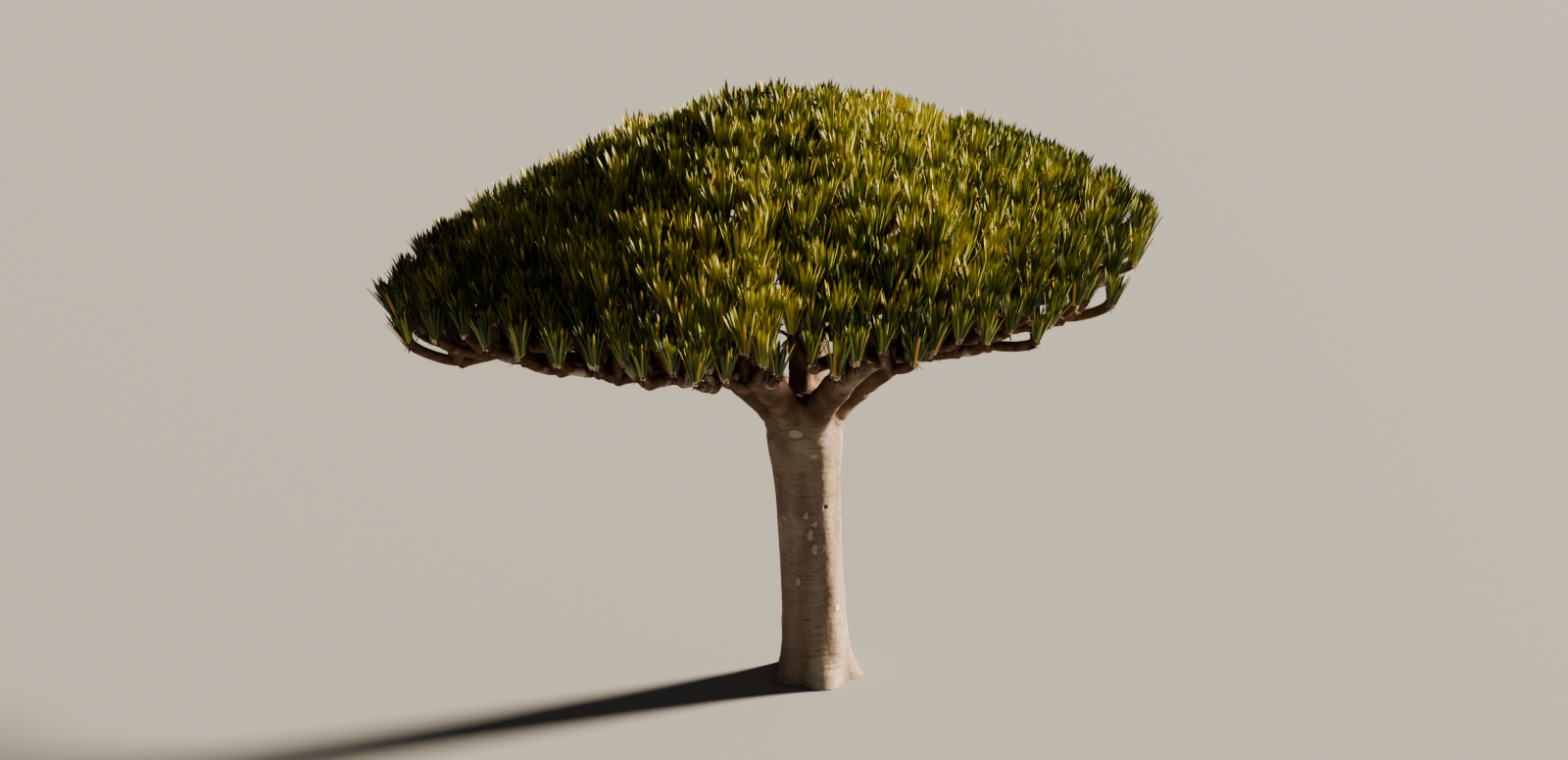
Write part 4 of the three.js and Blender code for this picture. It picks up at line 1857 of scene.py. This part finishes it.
    def mass_branchlets(self, limb: Limb) -> list[Branchlet]:
        """Grows a mass's branchlets.

        Args:
            limb: The limb that carries the mass.

        Returns:
            The stem past the limb's end, then the branchlets inside, then those to the rim.
        """
        end = limb.route.end
        heading = limb.route.heading(1.0)
        fork = end.lerp(self.rule.target(limb.mass), self.first_fork)
        stem = Route(end - heading * self.overlap, end, fork)
        grown = [Branchlet(stem, limb.radius_at(1.0) * self.stem_swell, False)]
        sides: tuple[list[Rosette], list[Rosette]] = ([], [])
        for rosette in limb.mass.rosettes:
            sides[self.crown.rim_share(rosette.spot) > self.rim_from].append(rosette)
        inner, outer = sides
        return grown + self.grow(fork, heading, inner) + self.grow_to_rim(limb, outer)

    def outline_radius(self, share: float) -> float:
        """Shapes a branchlet like a sausage: pinched at its root, swollen before its tip.

        Args:
            share: Share of its length.

        Returns:
            The share of its full radius that it has there.
        """
        depth, length = self.pinch
        height, place, width = self.knuckle
        outline = 1.0 - depth * bump(share, 0.0, length) + height * bump(share, place, width)
        outline -= self.waist * math.sin(math.pi * share)
        over = max(share - self.end_from, 0.0) / (1 - self.end_from)
        return outline * math.sqrt(max(1 - self.end_close * over * over, 0.0))

    def seed_mesh(self, name: str, branchlets: list[Branchlet]) -> Mesh:
        """Returns the branchlets' routes as loose edges that carry radius and kind.

        Args:
            name: The mesh's name.
            branchlets: The branchlets.

        Returns:
            The mesh.
        """
        points: list[Vector] = []
        edges: list[tuple[int, int]] = []
        radii: list[float] = []
        stout: list[float] = []
        for branchlet in branchlets:
            step = self.slender_step if branchlet.last else self.stout_step
            count = max(int(branchlet.route.length(self.measure_steps) / step), self.least_steps)
            for i in range(count + 1):
                share = i / count
                if i:
                    edges.append((len(points) - 1, len(points)))
                points.append(branchlet.route.point(share))
                radii.append(branchlet.radius * self.outline_radius(share))
                stout.append(0.0 if branchlet.last else 1.0)
        mesh = built_mesh(name, points, edges)
        carry(mesh, {"girth": radii, "stout": stout})
        return mesh

    def tree(self, material: Material) -> NodeTree:
        """Returns the geometry tree that gives the routes their thickness and wrinkles.

        Args:
            material: The branchlets' bark, whose dark ground is painted shade.

        Returns:
            The tree.
        """
        bench = NodeBench.of_geometry("branchlet_bark")
        given = bench.sizes(
            {
                "Stout sides": self.stout_sides,
                "Slender sides": self.slender_sides,
                "Wrinkle height": self.wrinkle,
                "Wrinkle scale": self.wrinkle_scale,
            }
        )
        curve = bench.out("Curve", "GeometryNodeMeshToCurve", {"Mesh": given["Geometry"]})
        is_stout = bench.compare("GREATER_THAN", bench.named("stout"), 0.5)
        parted = {"Geometry": curve, "Selection": is_stout}
        halves = bench.add("GeometryNodeSeparateGeometry", parted, domain="POINT").outputs
        joined = bench.add("GeometryNodeJoinGeometry")
        for half, sides in (("Selection", "Stout sides"), ("Inverted", "Slender sides")):
            circle = {"Resolution": given[sides], "Radius": 1.0}
            inputs = {
                "Curve": halves[half],
                "Profile Curve": bench.out("Curve", "GeometryNodeCurvePrimitiveCircle", circle),
                "Scale": bench.named("girth"),
                "Fill Caps": True,
            }
            bench.feed(joined.inputs["Geometry"], bench.out("Mesh", "GeometryNodeCurveToMesh", inputs))
        position = bench.out("Position", "GeometryNodeInputPosition")
        waves = {"Vector": position, "Scale": given["Wrinkle scale"]}
        pattern = bench.out(0, "ShaderNodeTexNoise", waves)
        centred = bench.calc("SUBTRACT", pattern, 0.5)
        height = bench.calc("MULTIPLY", centred, bench.calc("MULTIPLY", given["Wrinkle height"], 2.0))
        normal = bench.out("Normal", "GeometryNodeInputNormal")
        offset = {"Offset": bench.scaled(normal, height)}
        wood = bench.passed("GeometryNodeSetPosition", joined.outputs["Geometry"], offset)
        wood = bench.passed("GeometryNodeSetShadeSmooth", wood)
        wood = bench.passed("GeometryNodeRealizeInstances", wood)
        wood = bench.passed("GeometryNodeSetMaterial", wood, {"Material": material})
        bench.add("NodeGroupOutput", {"Geometry": wood})
        return bench.tree

    def build(self, limb: Limb, tree: NodeTree) -> None:
        """Builds the branchlets of one limb's mass.

        Args:
            limb: The limb that carries the mass.
            tree: The geometry tree that gives them thickness.
        """
        branchlets = self.mass_branchlets(limb)
        name = f"branchlets_{limb.mass.name}"
        piece = settled_piece(name, self.seed_mesh(name, branchlets), tree, {})
        report_piece(piece)


@dataclass(frozen=True)
class Leaf:
    """One sword leaf: a closed blade with a keel outside, a flat face inside and a broad foot."""

    length: float = 0.360
    stations: tuple[float, ...] = (0.0, 0.12, 0.55, 0.86)
    widths: tuple[float, ...] = (0.034, 0.027, 0.028, 0.019)
    keels: tuple[float, ...] = (0.010, 0.009, 0.007, 0.005)
    root_offset: float = 0.031
    corners: int = 3

    def mesh_object(self, name: str, curl: float) -> SceneObject:
        """Returns a leaf that arches outwards, as an object that isn't shown.

        Args:
            name: The object's name.
            curl: The angle that the leaf turns through from its foot to its tip.

        Returns:
            The object. Its faces carry 1 as their sheath where they belong to the foot.
        """
        points: list[Triple] = []
        for share, width, keel in zip(self.stations, self.widths, self.keels):
            x, z = self.spine(share, curl)
            points += [(x, -width / 2, z), (x, width / 2, z)]
            points.append((x + keel * math.cos(curl * share), 0.0, z - keel * math.sin(curl * share)))
        x, z = self.spine(1.0, curl)
        points.append((x, 0.0, z))
        tip = len(points) - 1
        faces: Faces = [(0, 1, 2)]
        for low in range(0, tip, self.corners):
            high = low + self.corners
            for side in range(self.corners):
                beside = (side + 1) % self.corners
                above = (high + side, high + beside) if high < tip else (tip,)
                faces.append((low + beside, low + side, *above))
        mesh = built_mesh(name, points, faces=faces)
        sheath = [1.0 if max(face) < 2 * self.corners else 0.0 for face in faces]
        mesh.attributes.new("sheath", "FLOAT", "FACE").data.foreach_set("value", sheath)
        return bpy.data.objects.new(name, mesh)

    def spine(self, share: float, curl: float) -> tuple[float, float]:
        """Returns the place of the leaf's spine, outwards and upwards, at a share of its length."""
        out = self.root_offset + self.length * (1 - math.cos(curl * share)) / curl
        return out, self.length * math.sin(curl * share) / curl


@dataclass(frozen=True)
class Foliage:
    """The rosettes of sword leaves: one piece for each mass."""

    leaf: Leaf
    withered: Leaf
    leaves: tuple[int, int] = (41, 51)
    curls: tuple[float, ...] = (0.03, 0.10, 0.22)
    withered_curl: float = 1.2
    lean_inside: float = math.radians(1)
    lean_outside: float = math.radians(15)
    lean_jitter: float = math.radians(4)
    turn_jitter: float = 0.2
    # Past this share the leaves are dry: dead leaves, whose dark skirt partly fills the gaps between the
    # tufts as painted shade.
    dry_from: float = 0.78
    dry_lean: Span = (math.radians(38), math.radians(82))
    dry_size: Span = (0.70, 1.15)
    straw_share: float = 0.045
    stack: float = 0.070
    young_size: float = 0.66
    grown_from: float = 0.3
    size_spread: Span = (0.84, 1.06)
    rounding: float = 0.51
    tone_spread: float = 0.24
    age_fade: float = 0.34
    lime_from: float = 0.55
    green_from: float = 0.20
    straw_mark: float = 2.0
    dry_and_shade_mark: float = -1.0

    def tree(self, materials: dict[LeafTone, Material]) -> NodeTree:
        """Returns the geometry tree that grows a rosette at each point.

        Args:
            materials: A material for each tone.

        Returns:
            The tree.
        """
        bench = RosetteBench.of_geometry("leaf_rosettes")
        bench.given = bench.sizes(
            {
                "Inner lean": self.lean_inside,
                "Outer lean": self.lean_outside,
                "Stack": self.stack,
                "Young size": self.young_size,
            }
        )
        leaves = bench.named("leaves")
        inputs = {"Geometry": bench.given["Geometry"], "Amount": leaves}
        copies = bench.add("GeometryNodeDuplicateElements", inputs, domain="POINT").outputs
        number = copies["Duplicate Index"]
        bench.share = bench.calc("DIVIDE", number, leaves)
        bench.dry = bench.compare("GREATER_THAN", bench.share, self.dry_from)
        drop = bench.calc("MULTIPLY", bench.calc("MULTIPLY", bench.share, bench.given["Stack"]), -1.0)
        offset = {"Offset": bench.scaled(bench.named("axis", "FLOAT_VECTOR"), drop)}
        age = bench.ranged(bench.share, (0.0, self.dry_from), (0.0, len(self.curls) - self.rounding))
        inputs = {
            "Points": bench.passed("GeometryNodeSetPosition", copies["Geometry"], offset),
            "Instance": self.leaf_kinds(bench),
            "Pick Instance": True,
            "Instance Index": bench.switch(bench.dry, bench.calc("ROUND", age), float(len(self.curls))),
            "Rotation": self.leaf_rotation(bench, number),
            "Scale": self.leaf_size(bench),
        }
        grown = bench.out("Instances", "GeometryNodeInstanceOnPoints", inputs)
        tone = {"Name": "leaf_tone", "Value": self.leaf_tone(bench)}
        each_leaf = {"data_type": "FLOAT", "domain": "INSTANCE"}
        grown = bench.passed("GeometryNodeStoreNamedAttribute", grown, tone, **each_leaf)
        grown = bench.passed("GeometryNodeRealizeInstances", grown)
        bench.add("NodeGroupOutput", {"Geometry": self.dressed(bench, grown, materials)})
        return bench.tree

    def leaf_rotation(self, bench: RosetteBench, number: Socket) -> Socket:
        """Turns each leaf along its rosette's axis, a golden angle on from the one before, then out.

        Args:
            bench: The tree's bench.
            number: The leaf's number, from the innermost.

        Returns:
            The rotation.
        """
        spiral = bench.calc("MULTIPLY_ADD", number, GOLDEN_ANGLE, bench.named("turn"))
        turn = bench.calc("ADD", spiral, bench.random(-self.turn_jitter, self.turn_jitter, Draw.TURN))
        leans = (bench.given["Inner lean"], bench.given["Outer lean"])
        even = bench.ranged(bench.share, (0.0, self.dry_from), leans)
        green = bench.calc("ADD", even, bench.random(-self.lean_jitter, self.lean_jitter, Draw.LEAN))
        lean = bench.switch(bench.dry, green, bench.random(*self.dry_lean, Draw.DRY_LEAN))
        inputs = {"Vector": bench.named("axis", "FLOAT_VECTOR")}
        rotation = bench.out("Rotation", "FunctionNodeAlignRotationToVector", inputs, axis="Z")
        for axis, angle in ((tuple(UP), turn), ((0.0, 1.0, 0.0), lean)):
            by = bench.out("Rotation", "FunctionNodeAxisAngleToRotation", {"Axis": axis, "Angle": angle})
            inputs = {"Rotation": rotation, "Rotate By": by}
            rotation = bench.out("Rotation", "FunctionNodeRotateRotation", inputs, rotation_space="LOCAL")
        return rotation

    def leaf_size(self, bench: RosetteBench) -> Socket:
        """Sizes the leaves: the innermost are young and short, and the dry ones have withered.

        Args:
            bench: The tree's bench.

        Returns:
            Each leaf's size.
        """
        grown = bench.ranged(bench.share, (0.0, self.grown_from), (bench.given["Young size"], 1.0))
        own = bench.calc("MULTIPLY", grown, bench.random(*self.size_spread, Draw.SIZE))
        withered = bench.calc("MULTIPLY", bench.random(*self.dry_size, Draw.DRY_SIZE), bench.named("skirt"))
        size = bench.switch(bench.dry, own, withered)
        return bench.calc("MULTIPLY", size, bench.named("size"))

    def leaf_tone(self, bench: RosetteBench) -> Socket:
        """Tones the leaves: each has its rosette's tone, less its age.

        Args:
            bench: The tree's bench.

        Returns:
            Each leaf's tone from 0 to 1, or the mark of straw or of a dry leaf, whose dark brown is partly
            painted shade.
        """
        spread = bench.random(-self.tone_spread, self.tone_spread, Draw.TONE)
        young = bench.calc("ADD", bench.named("tone"), spread)
        aged = bench.calc("MULTIPLY_ADD", bench.share, -self.age_fade, young)
        clamped = bench.calc("MINIMUM", bench.calc("MAXIMUM", aged, 0.0), 1.0)
        is_straw = bench.compare("LESS_THAN", bench.random(0.0, 1.0, Draw.STRAW), self.straw_share)
        return bench.switch(bench.dry, bench.switch(is_straw, clamped, self.straw_mark), self.dry_and_shade_mark)

    def leaf_kinds(self, bench: RosetteBench) -> Socket:
        """Makes the kinds of leaf.

        Args:
            bench: The tree's bench.

        Returns:
            The leaf of each curl and then the withered one, as instances to pick from.
        """
        joined = bench.add("GeometryNodeJoinGeometry")
        kinds = [(self.leaf, curl) for curl in self.curls]
        kinds.append((self.withered, self.withered_curl))
        for i, (leaf, curl) in reversed(list(enumerate(kinds))):
            shape = leaf.mesh_object(f"leaf_kind_{i + 1}", curl)
            whole = {"Geometry": bench.out("Geometry", "GeometryNodeObjectInfo", {"Object": shape})}
            held = bench.out("Instances", "GeometryNodeGeometryToInstance", whole)
            bench.feed(joined.inputs["Geometry"], held)
        return joined.outputs["Geometry"]

    def dressed(
        self, bench: RosetteBench, geometry: Socket, materials: dict[LeafTone, Material]
    ) -> Socket:
        """Gives each leaf the material of its tone, and its foot the sheath's.

        Args:
            bench: The tree's bench.
            geometry: The realized leaves.
            materials: A material for each tone.

        Returns:
            The dressed geometry's socket.
        """
        tone = bench.named("leaf_tone")
        choices = [
            (LeafTone.DEEP, True),
            (LeafTone.GREEN, bench.compare("GREATER_THAN", tone, self.green_from)),
            (LeafTone.LIME, bench.compare("GREATER_THAN", tone, self.lime_from)),
            (LeafTone.STRAW, bench.compare("GREATER_THAN", tone, (1 + self.straw_mark) / 2)),
            (LeafTone.SHEATH, bench.compare("GREATER_THAN", bench.named("sheath"), 0.5)),
            (LeafTone.DRY, bench.compare("LESS_THAN", tone, self.dry_and_shade_mark / 2)),
        ]
        for choice, chosen in choices:
            inputs = {"Selection": chosen, "Material": materials[choice]}
            geometry = bench.passed("GeometryNodeSetMaterial", geometry, inputs)
        return geometry

    def build(self, mass: Mass, tree: NodeTree, random: SeededRandom) -> None:
        """Builds the leaves of one mass.

        Args:
            mass: The mass.
            tree: The geometry tree that grows the rosettes.
            random: Draws the numbers of leaves.
        """
        rosettes = mass.rosettes
        name = f"leaves_{mass.name}"
        mesh = built_mesh(name, [rosette.base for rosette in rosettes])
        for key in ("axis", "size", "tone", "turn", "skirt"):
            carry(mesh, {key: [getattr(rosette, key) for rosette in rosettes]})
        carry(mesh, {"leaves": [round(random.between(*self.leaves)) for _ in rosettes]})
        values = {"Inner lean": self.lean_inside, "Outer lean": self.lean_outside}
        piece = settled_piece(name, mesh, tree, values)
        report_piece(piece, [f"foliage_{mass.name}"])


@dataclass(frozen=True)
class Studio:
    """A grey floor, a low sun, soft light from all round and the photograph's camera."""

    head: Vector
    elevation: float = math.radians(19)
    bearing: float = math.radians(-3.86)
    distance: float = 24.7
    aim: Triple = (-0.25, 0.0, 2.42)
    lens: float = 74.0
    sensor: float = 36.0
    clip_end: float = 400.0
    floor_size: float = 160.0
    floor_colour: Colour = (0.26, 0.27, 0.28)
    floor_roughness: float = 0.9
    floor_specular: float = 0.5
    world_colour: Colour = (0.94, 0.92, 0.90)
    world_strength: float = 0.115
    key_from: Triple = (0.82, 0.42, 0.37)
    key_strength: float = 18.0
    key_angle: float = math.radians(9)
    key_colour: Colour = (1.0, 0.83, 0.62)
    contrast: str = "AgX - Medium High Contrast"

    def build(self) -> None:
        """Builds the floor, the sun, the world and the camera, and sets the picture's contrast."""
        bpy.context.scene.view_settings.look = self.contrast
        self.floor()
        self.key_light()
        self.world()
        self.camera()

    def floor(self) -> None:
        """Lays the floor."""
        half = self.floor_size / 2
        corners = [(-half, -half, 0), (half, -half, 0), (half, half, 0), (-half, half, 0)]
        mesh = built_mesh("floor", corners, faces=[(0, 1, 2, 3)])
        material = bpy.data.materials.new("floor")
        bench = NodeBench.of_material(material)
        bench.finish_material(self.floor_colour, self.floor_roughness, self.floor_specular)
        mesh.materials.append(material)
        placed("floor", mesh)

    def key_light(self) -> None:
        """Hangs the sun, which comes from the right, from behind and from above."""
        light = bpy.data.lights.new("key_light", "SUN")
        light.energy = self.key_strength
        light.angle = self.key_angle
        light.color = self.key_colour
        shining = -Vector(self.key_from)
        placed("key_light", light).rotation_euler = shining.to_track_quat("-Z", "Y").to_euler()

    def world(self) -> None:
        """Sets the soft light from all round."""
        world = bpy.data.worlds.new("studio")
        world.use_nodes = True
        background = world.node_tree.nodes["Background"]
        background.inputs["Color"].default_value = (*self.world_colour, 1.0)
        background.inputs["Strength"].default_value = self.world_strength
        bpy.context.scene.world = world

    def camera(self) -> None:
        """Sets the camera where the photograph was taken from, aimed at the tree's middle."""
        level = Vector((math.sin(self.bearing), math.cos(self.bearing), 0.0))
        sight = level * math.cos(self.elevation) - UP * math.sin(self.elevation)
        place = self.head - sight * self.distance
        data = bpy.data.cameras.new("camera")
        data.lens = self.lens
        data.sensor_width = self.sensor
        data.clip_end = self.clip_end
        camera = placed("camera", data)
        camera.location = place
        camera.rotation_euler = (Vector(self.aim) - place).to_track_quat("-Z", "Y").to_euler()
        bpy.context.scene.camera = camera


# Trunk and bough bark: the dark bough brown is partly the boughs' own redder bark and partly painted shade
# under the crown.
WOOD_BARK_AND_SHADE = BarkAndShadeFinish(
    name="wood_bark",
    base=(0.175, 0.112, 0.076),
    dark=(0.092, 0.055, 0.037),
    pale=(0.560, 0.495, 0.420),
    crease=(0.120, 0.082, 0.060),
    scar=(0.545, 0.480, 0.405),
    stem_base=(0.300, 0.238, 0.192),
    stem_dark=(0.222, 0.170, 0.134),
    wrinkle_noise=(9.0, 4.0),
    crease_fade=(0.05, 0.95, 0.65),
)
# Twig bark: the dark red-brown ground is painted shade inside the crown; the pale patches are pale bark that
# also stands for lit twigs as painted light.
TWIG_BARK_AND_SHADE = BarkAndShadeFinish(
    name="twig_bark",
    base=(0.165, 0.094, 0.060),
    dark=(0.066, 0.035, 0.023),
    pale=(0.640, 0.570, 0.480),
    crease=(0.10, 0.065, 0.045),
    scar=(0.66, 0.60, 0.52),
    patch_noise=(4.5, 5.0),
    patch_fade=(0.56, 0.68, 0.60),
    mottle_noise=(17.0, 6.0),
    grain_noise=(120.0, 4.0),
    bump_distance=0.003,
)
LEAF_FINISHES = (
    LeafFinish(LeafTone.LIME, (0.640, 0.565, 0.170), (0.480, 0.470, 0.130)),
    LeafFinish(LeafTone.GREEN, (0.345, 0.350, 0.085), (0.210, 0.250, 0.058)),
    LeafFinish(LeafTone.DEEP, (0.078, 0.105, 0.026), (0.044, 0.066, 0.016)),
    LeafFinish(LeafTone.STRAW, (0.520, 0.330, 0.085), (0.430, 0.235, 0.060), roughness=0.6),
    # Dry leaves: dead-leaf brown, darkened to also stand for painted shade in the gaps between the tufts.
    LeafFinish(LeafTone.DRY, (0.115, 0.060, 0.034), (0.210, 0.115, 0.060), roughness=0.8),
    LeafFinish(LeafTone.SHEATH, (0.720, 0.630, 0.460), (0.520, 0.400, 0.240), roughness=0.6),
)
TRUNK_RELIEF = BarkRelief(
    crease_gap=0.034,
    crease_depth=0.0015,
    crease_width=0.0085,
    crease_span=-0.05,
    scars_per_metre=9.0,
    scar_radius=0.018,
)
WITHERED_LEAF = Leaf(
    length=0.185,
    stations=(0.0, 0.28, 0.56, 0.82),
    widths=(0.036, 0.032, 0.026, 0.016),
    keels=(0.008, 0.006, 0.005, 0.004),
    root_offset=0.018,
)
TRUNK_MARKS = tuple(
    BarkMark(kind, height, math.radians(facing), half_width, half_height, ragged)
    for kind, height, facing, half_width, half_height, ragged in (
        (MarkKind.HEALED, 2.08, -99, 0.060, 0.040, 0.0),
        (MarkKind.FLAKE, 1.41, -90, 0.024, 0.030, 0.30),
        (MarkKind.FLAKE, 1.34, -74, 0.020, 0.026, 0.35),
        (MarkKind.FLAKE, 1.25, -84, 0.028, 0.046, 0.25),
        (MarkKind.FLAKE, 1.13, -77, 0.030, 0.040, 0.30),
        (MarkKind.FLAKE, 0.86, -110, 0.026, 0.038, 0.30),
        (MarkKind.FLAKE, 1.52, 35, 0.030, 0.044, 0.30),
        (MarkKind.FLAKE, 0.74, 95, 0.034, 0.048, 0.30),
        (MarkKind.HEALED, 1.30, 150, 0.050, 0.036, 0.05),
        (MarkKind.HEALED, 0.62, -30, 0.042, 0.032, 0.05),
        (MarkKind.HOLE, 1.47, -53, 0.014, 0.017, 0.10),
    )
)
WOOD_SEED = 20
DETAIL_SEED = 411


def main() -> None:
    """Builds the tree piece by piece, then the studio."""
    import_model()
    random = SeededRandom(WOOD_SEED)
    detail = SeededRandom(DETAIL_SEED)
    trunk_shape = TrunkShape()
    crown = CrownShape(trunk_shape.head)
    plan = CrownPlan(crown)
    masses = plan.build(random)
    RosettePlan(plan).build(masses, detail)
    rule = WoodRule(trunk_shape, crown)
    bark = SweptBark(BarkRelief(), trunk_shape, TRUNK_MARKS, WOOD_BARK_AND_SHADE.material(), detail)
    twig_material = TWIG_BARK_AND_SHADE.material()
    leaf_materials = {finish.tone: finish.material() for finish in LEAF_FINISHES}

    families = [[rule.centre_bough(masses[0])]]
    for number in range(plan.boughs):
        members = [mass for mass in masses if mass.bough == number]
        bough = rule.bough(number, members)
        families.append([bough, *(rule.limb(bough, mass) for mass in members)])
    aims = [family[0].route.end - trunk_shape.head for family in families[1:]]
    bearings = [math.atan2(aim.y, aim.x) for aim in aims]
    bough_axes = {family[0].name: bark.limb_axis(family[0]).without_end() for family in families}
    trunk = Trunk(trunk_shape, replace(bark, relief=TRUNK_RELIEF))
    trunk.build(bearings, list(bough_axes.values()))
    for family in families:
        Boughs(bark).build(family, trunk.body, bough_axes)

    branchlets = Branchlets(rule, crown)
    branchlet_tree = branchlets.tree(twig_material)
    foliage = Foliage(Leaf(), WITHERED_LEAF)
    leaf_tree = foliage.tree(leaf_materials)
    for limb in (limb for family in families for limb in family if limb.mass):
        branchlets.build(limb, branchlet_tree)
        foliage.build(limb.mass, leaf_tree, detail)

    Studio(trunk_shape.head).build()


if __name__ == "__main__":
    logging.basicConfig(level=logging.INFO, format="%(message)s")
    main()
